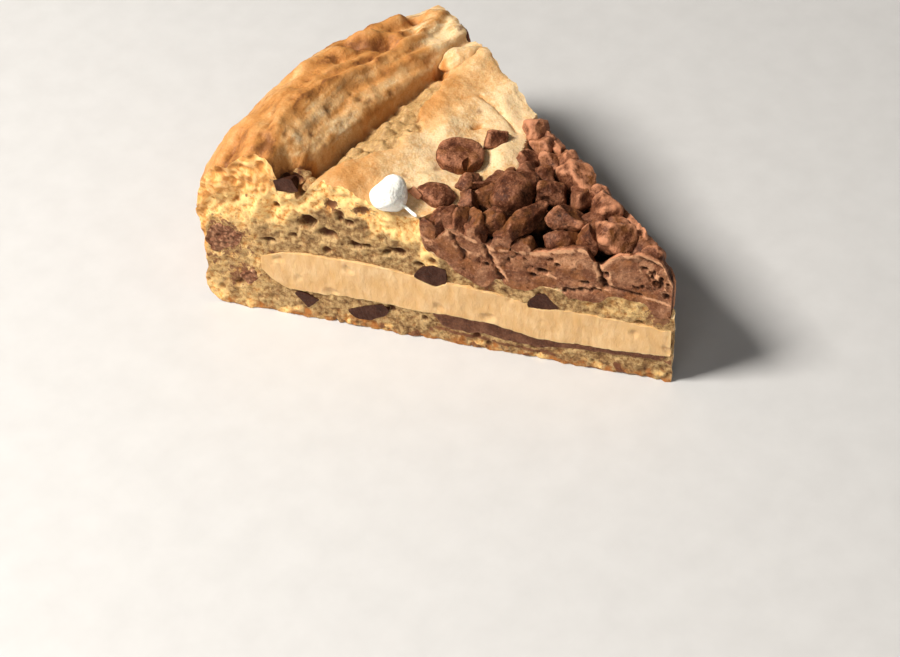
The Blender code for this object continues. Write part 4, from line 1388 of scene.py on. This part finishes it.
    def foot_sheet(self) -> Object:
        """The sheet that cuts the underside: flat with small hollows, and the rounded corner."""
        turn = np.linspace(0, math.pi / 2, 9)[1:]
        corner = self.form.corner
        level_end = WALL_RADIUS - corner
        radii = np.concatenate([np.linspace(0.4, level_end, 76), level_end + corner * np.sin(turn),
                                [WALL_RADIUS + 1.2, WALL_RADIUS + 8.0]])
        radius, across = np.meshgrid(radii, np.linspace(-1, 1, 58), indexing="ij")
        angle = across * (HALF_ANGLE + np.minimum(np.degrees(5.0 / radius), 75.0))
        flat = polar(radius, angle, 0.0)
        near, _, _ = grains(flat, 3.0, 91)
        relief = np.clip(0.9 * (near - 0.35) + 0.35 * layered(flat, 5.0, 92), 0.0, 0.8)
        grid = polar(radius, angle, self.form.underside(radius) + relief)
        grid[0, :, 1] -= 6.0
        points, triangles = tent(grid, np.array([0.0, 0.0, -900.0]))
        return body("foot_sheet", points, triangles, self.finishes["crust"])

    def build(self, rooms: Sequence[Object]) -> Object:
        """Cut the blank with the sheets and hollow it with the rooms of what lies in it."""
        shell = self.blank()
        for knob in self.knobs:
            finish = self.finishes["crumb"] if knob.name.startswith("cleft") else self.finishes["crust"]
            shape_with(shell, Cut.FUSE, [knob.make(knob.name, finish)])
        for cut, step in ((NEAR, self.grid), (FAR, self.far_grid)):
            cut.trim(shell, stations(0.0, 114.6, step), stations(-0.5, 49.5, step), partial(self.grainy, cut),
                     self.finishes["crumb"])
        shape_with(shell, Cut.TAKE_AWAY, [self.foot_sheet(), *rooms])
        drop_scraps(shell)
        self.dress(shell)
        return shell

    def dress(self, shell: Object) -> None:
        """Keep in the mesh what the finishes read: toast, torn and bright crumb, browning, stains, painted
        shade in pits, grooves and the crease, and what stands out for painted highlights.
        """
        points = corners_of(shell.data)
        radius, angle, height = unpolar(points)
        inside = np.clip(angle, -HALF_ANGLE, HALF_ANGLE)
        below = self.form.height(np.clip(radius, TIP_RADIUS, WALL_RADIUS), inside) - height
        mark(shell.data, toast=self.form.toast(radius, inside, height))
        mark(shell.data, crumbly=self.form.torn(radius, inside))
        # Painted shade in pits, grooves and along the crease, from the blank's hollow mark.
        pit = np.zeros(len(points), np.float32)
        shell.data.attributes["hollow"].data.foreach_get("value", pit)
        mark(shell.data, pit=0.8 * pit)
        cloud = layered(points, 6.0, 71)
        under_edge = smooth(1.35 - below / (8.5 + 3.0 * cloud)) * smooth((radius - 54.0) / 5.0)
        rim = smooth((radius - 88.0) / 5.0) * smooth((height - 24.0) / 6.0)
        # Around the cleft chip the crumb is darker and browner, with no baked skin: painted shade of the
        # cleft.
        cleft = close_to(points, (89.2, 20.2, 40.2), 4.4)
        scorched = spot(radius, height, 105.5, 29.6, 5.5, 2.8)
        bright = np.maximum(under_edge, 0.9 * rim) + 0.3 * cloud * (radius > 55)
        bright += 0.42 * smooth((radius - 94.0) / 8.0)
        bright += 0.38 * smooth((24.0 - radius) / 4.0) * smooth((height - 16.5) / 1.5)
        bright += 0.7 * smooth(2.6 * rippled(points, 3.2, 79) - 0.2) * smooth((3.6 - height) / 1.8)
        bright -= 1.5 * cleft + 0.5 * scorched
        mark(shell.data, bright=np.clip(bright, 0, 1))
        mark(shell.data, rind=self.rind(points, radius, height) * (1 - cleft))
        crust_near = 0.30 * smooth((radius - WALL_RADIUS + 1.6) / 1.2)
        streaked = np.maximum(0.24 - np.abs(rippled(points, 4.2, 80)), 0.0) / 0.24
        crust_near += 0.55 * streaked * smooth((radius - 100.0) / 5.0) * smooth((height - 30.0) / 4.0)
        foot = (0.60 - 0.4 * rippled(points, 3.2, 79)) * smooth((2.8 + 1.6 * cloud - height) / 1.8)
        specks = smooth(3.0 * (rippled(points, 2.6, 72) - 0.30)) * 0.8 * (0.4 + 0.6 * rim)
        browned = np.maximum.reduce([crust_near, foot, specks, 0.42 * scorched + 0.3 * cleft])
        mark(shell.data, browned=np.clip(browned + 0.25 * rim * layered(points, 3.0, 73), 0, 1))
        mark(shell.data, stain=self.stains(points, radius, angle, height))
        # What stands out and what falls back, for the crumb's painted highlights and shade.
        mark(shell.data, edge=bulge(shell.data, 1))
        soften_shading(shell, 50.0)

    def stains(self, points: Array, radius: Array, angle: Array, height: Array) -> Array:
        """Chocolate worked into the crumb: patches near the wall, streaks in the base, smears by the heap."""
        near = smooth((angle - 14.0) / 4.0)
        far = smooth((-angle - 14.0) / 4.0)
        dots = smooth(3.0 * (rippled(points, 2.8, 75) - 0.22)) * smooth((4.6 - height) / 1.5)
        line = np.interp(radius, *self.streak)
        streak = bell((height - line) / 0.55) * smooth((radius - 27.0) / 3.0) * smooth((58.5 - radius) / 2.0)
        patch = spot(radius, height, 107.6, 20.2, 7.4, 6.4) * near
        patch = np.maximum(patch, 0.85 * spot(radius, height, 103.0, 10.4, 5.4, 4.0) * near)
        patch = np.maximum(patch, 0.9 * spot(radius, height, 105.4, 28.0, 5.4, 4.4) * far)
        total = np.maximum.reduce([
            0.75 * patch * smooth((112.0 - radius) / 2.0),
            0.95 * streak * near,
            0.8 * bell((height - 6.3) / 0.6) * smooth((30.0 - radius) / 4.0) * near,
            0.85 * spot(radius, height, 4.4, 19.4, 4.0, 3.2) * near,
            0.8 * dots * smooth((76.0 - radius) / 6.0) * near])
        total += 0.3 * layered(points, 3.0, 74) * (total > 0.1)
        for pores, side in ((self.near_pores, near), (self.far_pores, far)):
            for pore in pores:
                total = np.maximum(total, pore.stain * bell(0.8 * pore.away(radius, height)) * side)
        for at, level, size in self.specks:
            total = np.maximum(total, 0.8 * bell(np.hypot(radius - at, 1.5 * (height - level)) / size) * near)
        smear = 0.9 * spot(radius, height, 44.2, 20.5, 1.6, 3.6) * near
        return np.clip(np.maximum.reduce([total, smear, close_to(points, (91.0, -20.8, 45.4), 1.9)]), 0, 1)


@dataclass
class CreamFilling:
    """The layer of cream: its form, its sway and ragged edges, and its cut faces smeared by the knife."""

    finishes: Finishes
    counts: tuple[int, int, int] = (250, 44, 26)
    start: float = 1.8
    end: float = 98.4
    top: Table = (
        (0, 15.5), (20, 16.3), (34, 16.5), (48, 18), (61, 18.7), (74, 20), (86, 19.8), (93, 19), (98.4, 17),
    )
    bottom: Table = (
        (0, 8.4), (13, 7.2), (30, 6.5), (36.5, 7.2), (42.4, 8.4), (56, 8.5), (62, 8.4), (75, 9.1), (92, 8.2),
        (96.3, 10.6), (98.4, 13.6),
    )
    sway: float = 0.3
    ragged: float = 0.34

    def span(self, radius: Array, angle: Array) -> Pair:
        """Bottom and top heights: two curves with the same uneven sway, each with its own ragged edge."""
        flat = polar(radius, angle, 0.0)
        sway = self.sway * rippled(flat, 22.0, 51)
        low = along(self.bottom, radius, 1.0) + sway + self.ragged * layered(flat, 3.6, 52)
        high = along(self.top, radius, 1.0) + sway + self.ragged * layered(flat, 3.0, 54)
        return low, np.maximum(high, low + 0.25)

    def build(self) -> Object:
        """The cream with its cut faces dressed."""
        finish = self.finishes["cream"]
        cream = layer_block("vanilla_cream_layer", finish, self.span, self.start, self.end, self.counts, 1.5)
        for cut in (NEAR, FAR):
            cut.trim(cream, stations(0.0, 100.0, 0.5), stations(5.0, 22.0, 0.45), self.smeared, finish)
        soften_shading(cream, 50.0)
        return cream

    def smeared(self, radius: Array, height: Array) -> Pair:
        """Relief of cut cream: soft swells, upright smears and a few torn places."""
        place = on_face(radius, height, 7.0)
        out = 0.22 * rippled(place, 9.0, 55) + 0.14 * layered(on_face(radius, height * 0.2, 3.0), 1.9, 56)
        torn = smooth(4.0 * (rippled(place, 3.6, 57) - 0.42))
        return out - 0.5 * torn + 0.06, 0.4 * torn

    def room(self) -> Object:
        """The tool that hollows the dough for the cream."""
        start, end = self.start - 4.5, self.end + SNUG
        return layer_block("cream_room", self.finishes["crumb"], self.span, start, end, self.counts,
                           6.0, SNUG, SNUG)


@dataclass
class ChocolateBand:
    """The thin band of chocolate that lies right under the cream."""

    cream: CreamFilling
    finishes: Finishes
    counts: tuple[int, int, int] = (170, 40, 8)
    start: float = 3.0
    end: float = 57.2
    thick: Table = ((0, 0.9), (24, 1.1), (29.5, 1.6), (36.5, 2.7), (43, 3.7), (53, 3.7), (57.2, 2.4))

    def span(self, radius: Array, angle: Array) -> Pair:
        """The band hangs from the cream's underside; its own is uneven."""
        under, _ = self.cream.span(radius, angle)
        thick = along(self.thick, radius) * (1 + 0.30 * layered(polar(radius, angle, 0.0), 5.0, 58))
        taper = smooth((self.end + 0.5 - radius) / 3.0) * smooth((radius - self.start + 0.8) / 3.0)
        return under - SNUG - 0.25 - thick * taper, under - SNUG

    def build(self) -> Object:
        """The band, cut at both sides."""
        finish = self.finishes["band"]
        band = layer_block("thin_chocolate_layer", finish, self.span, self.start, self.end, self.counts, 1.5)
        for cut in (NEAR, FAR):
            cut.trim(band, stations(2.0, 58.5, 0.45), stations(2.0, 11.0, 0.4), self.scraped, finish)
        # Dust and painted highlights where the band stands out, painted shade in its hollows.
        mark(band.data, edge=bulge(band.data))
        soften_shading(band, 50.0)
        return band

    def scraped(self, radius: Array, height: Array) -> Pair:
        """Relief of the cut band: low lumps."""
        return 0.16 * layered(on_face(radius, height, 5.0), 2.4, 59), np.zeros(radius.shape)

    def room(self) -> Object:
        """The tool that deepens the hollow under the cream for the band, and reaches up into the cream."""
        start, end = self.start - SNUG, self.end + SNUG
        return layer_block("band_room", self.finishes["crumb"], self.span, start, end, self.counts,
                           6.0, SNUG, 1.2)


@dataclass
class ChocolateHeap:
    """Broken milk chocolate that fills the dip: a layer between the cuts with chunks fused on it."""

    form: DoughForm
    finishes: Finishes
    near_top: Table = (
        (0, 27), (2.4, 29.4), (4.6, 34.6), (9.1, 36.6), (15, 35), (17, 32.8), (18.3, 31), (20.1, 32.3),
        (22, 35.3), (27.6, 33.8), (33.4, 31.7), (39.6, 30.9), (44.4, 31.3), (49.7, 33.4), (52.2, 34.4),
        (55.9, 31.4), (57.4, 29.7), (60.8, 32.6),
    )
    far_top: Table = ((0, 27), (5.3, 31), (12, 34.5), (24, 35.5), (37, 35.4), (52, 36.4), (60, 36.8))
    middle_top: Table = ((0, 31), (9, 30.4), (17, 27.6), (30, 29), (46, 30.4), (56, 34.2), (60, 35))
    chunks: tuple[Chunk, ...] = HEAP_CHUNKS
    holes: tuple[Pore, ...] = all_of(Pore, (
        (31.4, 26.9, 1.4, 0.7, 1.2), (33.6, 25.2, 0.9, 0.6, 1), (28, 29.2, 0.7, 0.5, 0.8),
        (21.8, 25.6, 1.1, 0.5, 1), (17.6, 27, 0.8, 0.7, 1), (17, 29.2, 0.6, 0.6, 0.9),
        (8.6, 32.6, 0.8, 0.6, 1), (6.6, 31.6, 0.6, 0.7, 1), (4.8, 28.8, 0.6, 1, 1.1),
        (3.4, 25.6, 0.6, 0.9, 1), (44.4, 26, 0.9, 0.5, 0.8),
    ))
    pale_lines: tuple[Groove, ...] = all_of(Groove, (
        (27, 22.6, 18.6, 24.6, 0.32), (19.6, 31, 18.4, 27, 0.40), (18.4, 27, 16.6, 24, 0.36),
        (16.6, 29.6, 15.6, 26, 0.32), (44.8, 31, 42.2, 27.4, 0.42), (41.6, 26, 39.6, 22.6, 0.45),
        (52, 30, 45.6, 27.8, 0.26), (6.6, 32.6, 3.6, 27.4, 0.30), (8.6, 24.6, 2.6, 23.4, 0.32),
        (9.4, 32, 7.4, 31, 0.30), (30.6, 26.4, 28.4, 25.4, 0.34), (59.8, 26.6, 54.2, 24.8, 0.30),
    ))
    grooves: tuple[Groove, ...] = all_of(Groove, (
        (28, 22.2, 18.6, 24.4, 0.45, 0.9), (19, 31.4, 17.4, 25.2, 0.50, 1),
        (45.2, 31.4, 40.6, 21.8, 0.45, 0.8), (52.6, 33.4, 49, 26.4, 0.45, 0.8),
        (37, 30.8, 41, 26, 0.35, 0.5), (17, 25.6, 9, 24.8, 0.40, 0.7),
        (9.6, 35.6, 4.4, 33.4, 0.40, 0.6), (14, 33.8, 8, 34.6, 0.30, 0.4),
    ))

    def core_height(self, radius: Array, angle: Array) -> Array:
        """Height of the layer: the cuts' own outlines at both sides, lower and lumpy between them."""
        flat = polar(radius, angle, 0.0)
        to_near = radius * np.sin(np.radians(np.clip(HALF_ANGLE - angle, 0, 60)))
        to_far = radius * np.sin(np.radians(np.clip(HALF_ANGLE + angle, 0, 60)))
        near = smooth(1 - (to_near - 1.0) / 4.0)
        far = smooth(1 - (to_far - 1.0) / 4.0) * (1 - near)
        total = along(self.near_top, radius, 0.5) * near + along(self.far_top, radius, 0.8) * far
        total += along(self.middle_top, radius) * (1 - near - far)
        lumpy, _, _ = grains(flat, 5.5, 93)
        crumbs, _, chance = grains(flat, 1.9, 68)
        total += (0.55 - lumpy) * 2.2 * (1 - 0.65 * near) + 0.35 * layered(flat, 2.6, 94)
        return total + 2.1 * np.maximum(0.5 - crumbs, 0) * (chance > 0.35) * (1 - 0.7 * near)

    def core(self) -> Object:
        """The layer, from under the dough's surface to its own top."""

        def span(radius: Array, angle: Array) -> Pair:
            """From well inside the dough up to the layer's top."""
            inside = np.clip(angle, -HALF_ANGLE, HALF_ANGLE)
            return np.full(radius.shape, 12.0), self.core_height(radius, inside)

        return layer_block("broken_chocolate_heap", self.finishes["milk"], span, 2.2, 62.5, (150, 96, 5), 4.0)

    def keep_out(self) -> Object:
        """The room that the dough takes, raised a little: what lies on it is trimmed by this."""

        def span(radius: Array, angle: Array) -> Pair:
            """From the table up to the dough's top."""
            return np.full(radius.shape, -9.0), self.form.height(radius, angle) + 0.05

        return layer_block("dough_keep_out", self.finishes["milk"], span, 0.9, 76.0, (150, 96, 3), 4.0)

    def sliced(self, cut: KnifeCut, radius: Array, height: Array) -> Pair:
        """Relief of cut chocolate: lines along the knife's way, chipped lumps, cracks and small holes."""
        place = on_face(radius, height, 11.0 if cut is NEAR else 31.0)
        drawn = on_face(radius * 0.35, height + 0.12 * radius, 2.0)
        out = 0.17 * layered(place, 3.4, 95) + 0.12 * rippled(drawn, 0.9, 96)
        torn = smooth(0.3 + 2.0 * rippled(place, 6.0, 64))
        out += torn * (0.26 * (0.5 - np.abs(rippled(place, 2.2, 65)) * 2.2))
        bent = place + 0.7 * rippled(place, 2.0, 66)[..., None]
        gap, second, chance = grains(bent, 3.6, 97)
        hole = bell((gap * (1 + 1.6 * rippled(place, 1.1, 69)) / (0.06 + 0.12 * chance)) ** 2)
        hole *= chance > 0.95
        crack = smooth(1 - (second - gap) / 0.06) * (chance > 0.45) * torn
        if cut is NEAR:
            wobble = 0.65 * rippled(place, 1.3, 67)
            for pore in self.holes:
                hole = np.maximum(hole, pore.weight(radius, height, wobble))
            for groove in self.grooves:
                out -= groove.depth * groove.weight(radius + 2 * wobble, height + wobble)
        return np.clip(out - 1.1 * hole - 0.5 * crack - 0.10, -1.9, 0.5), hole

    def build(self, rooms: Sequence[Object]) -> Object:
        """Fuse, cut and trim the heap, and keep in its mesh where its edges are."""
        heap = self.core()
        for chunk in self.chunks:
            shape_with(heap, Cut.FUSE, [chunk.make(chunk.name, self.finishes["milk"])])
        for cut in (NEAR, FAR):
            cut.trim(heap, stations(0.0, 64.0, 0.45), stations(13.0, 45.0, 0.45), partial(self.sliced, cut),
                     self.finishes["milk_cut"])
        shape_with(heap, Cut.TAKE_AWAY, [self.keep_out(), *rooms])
        drop_scraps(heap)
        self.dress(heap)
        return heap

    def dress(self, heap: Object) -> None:
        """Keep in the mesh the dust and painted highlights on what stands out and on the pale lip along the
        near cut's top, painted light and shade by place, and painted shade in hollows and low places.
        """
        points = corners_of(heap.data)
        radius, angle, height = unpolar(points)
        to_near = NEAR.distance(points)
        at_cut = smooth(1.6 - to_near / 0.7)
        # The pale lip is a painted highlight along the near cut's top edge; the pale lines and two lighter
        # patches on the cut face join it.
        lip = bell((along(self.near_top, radius, 0.5) - height - 0.2) / 0.55)
        for line in self.pale_lines:
            lip = np.maximum(lip, line.weight(radius + 0.4 * layered(points, 1.8, 76), height))
        lip *= at_cut * smooth(0.7 + 1.5 * rippled(points, 1.6, 77))
        lip += 0.5 * spot(radius, height, 25.5, 31.2, 6.0, 1.7) * at_cut
        lip += 0.3 * spot(radius, height, 44.0, 29.0, 5.0, 1.2) * at_cut
        faint = 1 - 0.5 * smooth(2.0 - to_near / 0.7)
        # Painted light and shade by place: lighter on the far row and on the chunk near the tip, darker in
        # the heap's middle.
        lit = 0.60 * smooth((-angle - 8.0) / 6.0) - 0.16
        lit += 0.42 * close_to(points, (18.0, 2.0, 37.0), 6.0)
        lit -= 0.50 * close_to(points, (38.0, 7.0, 35.0), 13.0)
        # Painted shade in broad hollows; dust and painted highlights where the mesh stands out.
        hollow_shade = np.minimum(2.4 * bulge(heap.data, 12) + 0.12, 0.0)
        mark(heap.data, edge=np.clip((bulge(heap.data, 2) + hollow_shade + lit) * faint + 1.7 * lip, -1, 1.4))
        # Painted shade on the low places between the chunks, away from the cuts.
        open_top = 1 - smooth(1.3 - np.minimum(to_near, FAR.distance(points)) / 0.8)
        mark(heap.data, sunk=smooth((33.8 - height) / 3.0) * open_top)
        soften_shading(heap, 40.0)


@dataclass(frozen=True)
class Chip:
    """A loose chip: its form, the bits fused to it and the bites out of it."""

    node: str
    form: Chunk
    bits: tuple[Chunk, ...] = ()
    bites: tuple[Chunk, ...] = ()

    def make(self, name: str, finish: Material, grow: float = 0.0) -> Object:
        """The chip as an object of this name."""
        made = self.form.make(name, finish, grow)
        shape_with(made, Cut.FUSE, [bit.make(bit.name, finish, grow) for bit in self.bits])
        shape_with(made, Cut.TAKE_AWAY, [bite.make(bite.name, finish, -grow) for bite in self.bites])
        return made


TOP_CHIPS = (
    Chip("milk_chip_round",
         nugget("disc", (60.0, 1.2, 38.3), (5.5, 4.9, 2.7), (8, 4, 0), 0, 5, 0.16),
         bites=(nugget("hollow", (56.0, 4.4, 40.2), (1.0, 2.6, 3.0), (10, 10, -14), 9, 6),)),
    Chip("milk_chip_low", nugget("lump", (54.2, 7.2, 36.9), (3.3, 2.5, 2.8), (14, 14, 30), 9, 7)),
    Chip("milk_chip_block", nugget("block", (57.0, -8.4, 38.3), (3.5, 2.6, 2.9), (10, 16, 22), 7, 14, 0.14)),
    Chip("milk_chip_flat",
         nugget("oval", (58.8, 13.6, 37.3), (5.2, 3.3, 2.5), (-10, 6, -12), 13, 6, 0.16),
         bits=(nugget("red_flake", (62.6, 16.4, 38.6), (1.5, 0.35, 1.3), (0, 40, -20), 8, 12, 0.1),)),
    Chip("white_chip",
         nugget("drop", (67.2, 19.2, 39.9), (4.7, 4.5, 5.3), (-36, 34, 0), 12, 4, 0.16, taper=0.42),
         bits=(nugget("tail", (62.8, 20.7, 37.6), (2.9, 0.30, 0.40), (0, 12, -44), 8, 8, 0.05),)),
)


@dataclass
class TopChips:
    """The chips that lie on the dough and the heap, each with its own shape."""

    finishes: Finishes

    def rooms(self) -> list[Object]:
        """Tools the size of the chips, a little grown."""
        return [chip.make(f"room_of_{chip.node}", self.finishes["crumb"], SNUG) for chip in TOP_CHIPS]

    def build(self) -> list[Dressed]:
        """The chips, each with the solid that it replaces and its slot."""
        made = []
        for chip in TOP_CHIPS:
            kind = chip.node.split("_")[0]
            piece = chip.make(f"{chip.node}_form", self.finishes[kind])
            # Dust and painted highlights where the chip stands out; the fused bits get more, on the red flake
            # as painted light through its thin edge.
            dust_and_highlight_share = bulge(piece.data)
            for bit in chip.bits:
                middle = polar(bit.radius, bit.angle, bit.height)
                away = np.linalg.norm(corners_of(piece.data) - middle, axis=1)
                dust_and_highlight_share += 0.9 * (away < max(bit.half) + 0.2)
            mark(piece.data, edge=dust_and_highlight_share)
            soften_shading(piece, 40.0)
            made.append((piece, chip.node, f"{kind}_chocolate"))
        return made


CUT_OUTLINES: dict[str, Table] = {
    "dark_chip_near_1": ((4.4, -1.3), (2.8, 1.3), (0.2, 2.7), (-3.2, 2.1), (-3.5, -1.7), (-0.8, -3.3)),
    "dark_chip_near_2": ((2.9, -0.6), (1.6, 1.3), (0.2, 2.3), (-1.3, 2.6), (-4.7, -1.1), (-1, -2.1),
                         (2.6, -2.2)),
    "dark_chip_near_3": ((2.9, 1), (1.2, 2), (-3.4, 0.1), (-0.6, -2.8)),
    "dark_chip_near_4": ((5.5, -0.6), (3.1, 0.9), (-3.2, 3.3), (-4.9, 1.7), (-3.9, -0.3), (0.1, -2.4),
                         (3.6, -2.4)),
    "milk_chip_near_1": ((4.6, -1.6), (3.1, 2.2), (0.6, 4.2), (-3.9, 2.8), (-4.9, -0.4), (-1.9, -2.5),
                         (2.2, -4.8)),
    "milk_chip_near_2": ((2.8, 0.2), (-1.1, 2.3), (-2.2, -0.4), (0.4, -2.3)),
}


@dataclass
class CutChips:
    """The chips that the knife went through, flat at the cut."""

    finishes: Finishes
    rows: tuple[tuple[str, float, float, float, float, float], ...] = (
        ("dark_chip_near_1", 57.2, 20.1, 4.2, 2.8, 0), ("dark_chip_near_2", 32, 17.8, 3.8, 2.3, 0),
        ("dark_chip_near_3", 88.2, 6, 3.2, 1.9, 0), ("dark_chip_near_4", 72.6, 5.1, 4.3, 2.5, 0),
        ("dark_chip_near_5", 90.8, 39.1, 2.8, 2, -10), ("milk_chip_near_1", 107.8, 20.2, 4.6, 4.4, 0),
        ("milk_chip_near_2", 101.8, 9.5, 3.2, 2.6, 0), ("dark_chip_far_1", 91.6, 41.6, 2.8, 2, 12),
        ("dark_chip_far_2", 64, 21.4, 3.9, 2.6, 15), ("dark_chip_far_3", 79, 4.8, 3.9, 2.3, -6),
        ("dark_chip_far_4", 24.6, 19, 3.4, 2.2, 10), ("dark_chip_far_5", 63.4, 3.8, 3.1, 1.8, 6),
        ("milk_chip_far_1", 105.4, 28.4, 4.2, 3.6, -20), ("milk_chip_far_2", 84, 30.6, 3.8, 3, 30),
    )
    across: float = 3.2
    grid: float = 0.4

    def chunk(self, row: tuple) -> Chunk:
        """The whole chip of a row, before the knife: coarse and soft if milk, flat-sided and hard if dark."""
        name, radius, height, length, tall, tilt = row
        facets, hardness, rough = (9, 8, 0.34) if name.startswith("milk") else (7, 16, 0.09)
        angle = HALF_ANGLE if "near" in name else -HALF_ANGLE
        return Chunk(name, radius, angle, height, (self.across, length, tall), (tilt, 0, angle), facets,
                     hardness, 16, rough, outline=CUT_OUTLINES.get(name, ()))

    def rooms(self) -> list[Object]:
        """Tools the size of the whole chips, a little grown."""
        return [self.chunk(row).make(f"room_of_{row[0]}", self.finishes["crumb"], SNUG) for row in self.rows]

    def build(self) -> list[Dressed]:
        """The cut chips, each with the solid that it replaces and its slot."""
        made = []
        for row in self.rows:
            name, radius, height, length, tall, _ = row
            kind = name.split("_")[0]
            soft = kind == "milk"
            finish = self.finishes["crushed" if soft else "dark"]
            piece = self.chunk(row).make(f"{name}_form", finish)
            reach = max(length, tall) + 2.5
            cut = NEAR if "near" in name else FAR
            radii, heights = (stations(at - reach, at + reach, self.grid) for at in (radius, height))
            cut.trim(piece, radii, heights, self.crumbled if soft else self.snapped, finish)
            # Dust and painted highlights where the chip stands out, painted shade in its hollows.
            mark(piece.data, edge=bulge(piece.data))
            soften_shading(piece, 40.0)
            made.append((piece, name, f"{kind}_chocolate"))
        return made

    def snapped(self, radius: Array, height: Array) -> Pair:
        """Relief of a hard chip's cut face: nearly flat."""
        return 0.10 * layered(on_face(radius, height, 17.0), 2.6, 98) - 0.05, np.zeros(radius.shape)

    def crumbled(self, radius: Array, height: Array) -> Pair:
        """Relief of soft chocolate crushed into the crumb: round grains."""
        place = on_face(radius, height, 19.0)
        small, second, _ = grains(place + 0.5 * rippled(place, 1.6, 63)[..., None], 1.25, 99)
        return 0.8 * (0.5 - small) - 0.2 * smooth(1 - (second - small) / 0.2) - 0.1, np.zeros(radius.shape)


@dataclass
class Studio:
    """The pale table, the soft lights and the camera at the picture's angle."""

    camera_at: Triple = (-0.333509, -0.256840, 0.372010)
    look: Triple = (0.57753707, 0.45807417, -0.67573589)
    up: Triple = (0.54381632, 0.40147244, 0.73694212)
    lens: float = 94.486
    sensor: float = 36.0
    table_half: float = 3.0
    aim_height: float = 0.02

    def build(self) -> None:
        """Set up the table, the world, the lights and the camera."""
        self.table()
        self.world()
        self.light("key_light", (-0.50, 0.38, 0.73), 0.9, 0.26, 13.6, (1.0, 0.965, 0.91))
        self.light("front_fill", (-0.80, -0.42, 0.46), 1.1, 0.80, 3.1, (1.0, 0.97, 0.93))
        self.light("right_fill", (0.80, -0.35, 0.50), 1.2, 0.90, 0.5, (0.96, 0.98, 1.0))
        self.camera()
        view = bpy.context.scene.view_settings
        view.view_transform = "Standard"
        view.look = "None"
        view.exposure = 0.0
        view.gamma = 1.0

    def table(self) -> None:
        """A wide level table top right under the slice."""
        points = np.array([(-1, -1, 0), (1, -1, 0), (1, 1, 0), (-1, 1, 0)]) * self.table_half / MM
        made = body("table_top", points, np.array([(0, 1, 2), (0, 2, 3)]), TableFinish().build())

    def world(self) -> None:
        """An even pale surround."""
        world = bpy.data.worlds.new("pale_room")
        world.use_nodes = True
        bpy.context.scene.world = world
        shade = world.node_tree.nodes["Background"]
        shade.inputs["Color"].default_value = (1.0, 0.985, 0.965, 1.0)
        shade.inputs["Strength"].default_value = 0.072

    def light(self, name: str, way: Triple, away: float, size: float, power: float,
              colour: Triple) -> None:
        """A square soft light, this far off along a direction and turned to the slice."""
        lamp = bpy.data.lights.new(name, "AREA")
        lamp.shape = "SQUARE"
        lamp.size = size
        lamp.energy = power
        lamp.color = colour
        made = bpy.data.objects.new(name, lamp)
        direction = np.array(way) / np.linalg.norm(way)
        place = direction * away + np.array([0.0, 0.0, self.aim_height])
        made.matrix_world = self.aimed(place, -direction, np.array([0.0, 0.0, 1.0]))
        bpy.context.scene.collection.objects.link(made)

    def aimed(self, place: Array, look: Array, up: Array) -> Matrix:
        """The pose of a lamp or camera at a place, looking along a direction."""
        back = -np.asarray(look, float)
        back /= np.linalg.norm(back)
        right = np.cross(up, back)
        right /= np.linalg.norm(right)
        pose = np.eye(4)
        pose[:3, 0] = right
        pose[:3, 1] = np.cross(back, right)
        pose[:3, 2] = back
        pose[:3, 3] = place
        return Matrix(pose.tolist())

    def camera(self) -> None:
        """The camera, with no depth of field and no shift."""
        lens = bpy.data.cameras.new("view_camera")
        lens.sensor_fit = "HORIZONTAL"
        lens.sensor_width = self.sensor
        lens.lens = self.lens
        lens.clip_start = 0.01
        made = bpy.data.objects.new("view_camera", lens)
        made.matrix_world = self.aimed(np.array(self.camera_at), np.array(self.look), np.array(self.up))
        bpy.context.scene.collection.objects.link(made)
        bpy.context.scene.camera = made


def settle(piece: Object, node: str) -> None:
    """Tie a finished piece to the slice's body, hide the solid that it replaces, and report it."""
    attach(piece, "root")
    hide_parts(node)
    triangles = sum(len(face.vertices) - 2 for face in piece.data.polygons)
    LOG.info("%s replaces %s: %d triangles", piece.name, node, triangles)


def main() -> None:
    """Build the slice's pieces in order, then the studio."""
    logging.basicConfig(level=logging.INFO, format="%(message)s")
    finishes = {name: finish.build() for name, finish in FINISHES.items()}
    form = DoughForm()
    cream = CreamFilling(finishes)
    band = ChocolateBand(cream, finishes)
    top_chips, cut_chips = TopChips(finishes), CutChips(finishes)

    rooms = [cream.room(), band.room(), *top_chips.rooms(), *cut_chips.rooms()]
    settle(CookieShell(form, finishes).build(rooms), "cookie")
    layer = cream.build()
    shape_with(layer, Cut.TAKE_AWAY, cut_chips.rooms())
    settle(layer, "cream_filling")
    settle(band.build(), "chocolate_band")
    heap = ChocolateHeap(form, finishes).build(top_chips.rooms())
    settle(heap, "chocolate_heap")
    for piece, node, slot in top_chips.build() + cut_chips.build():
        settle(piece, node)

    Studio().build()
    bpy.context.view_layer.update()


if __name__ == "__main__":
    main()
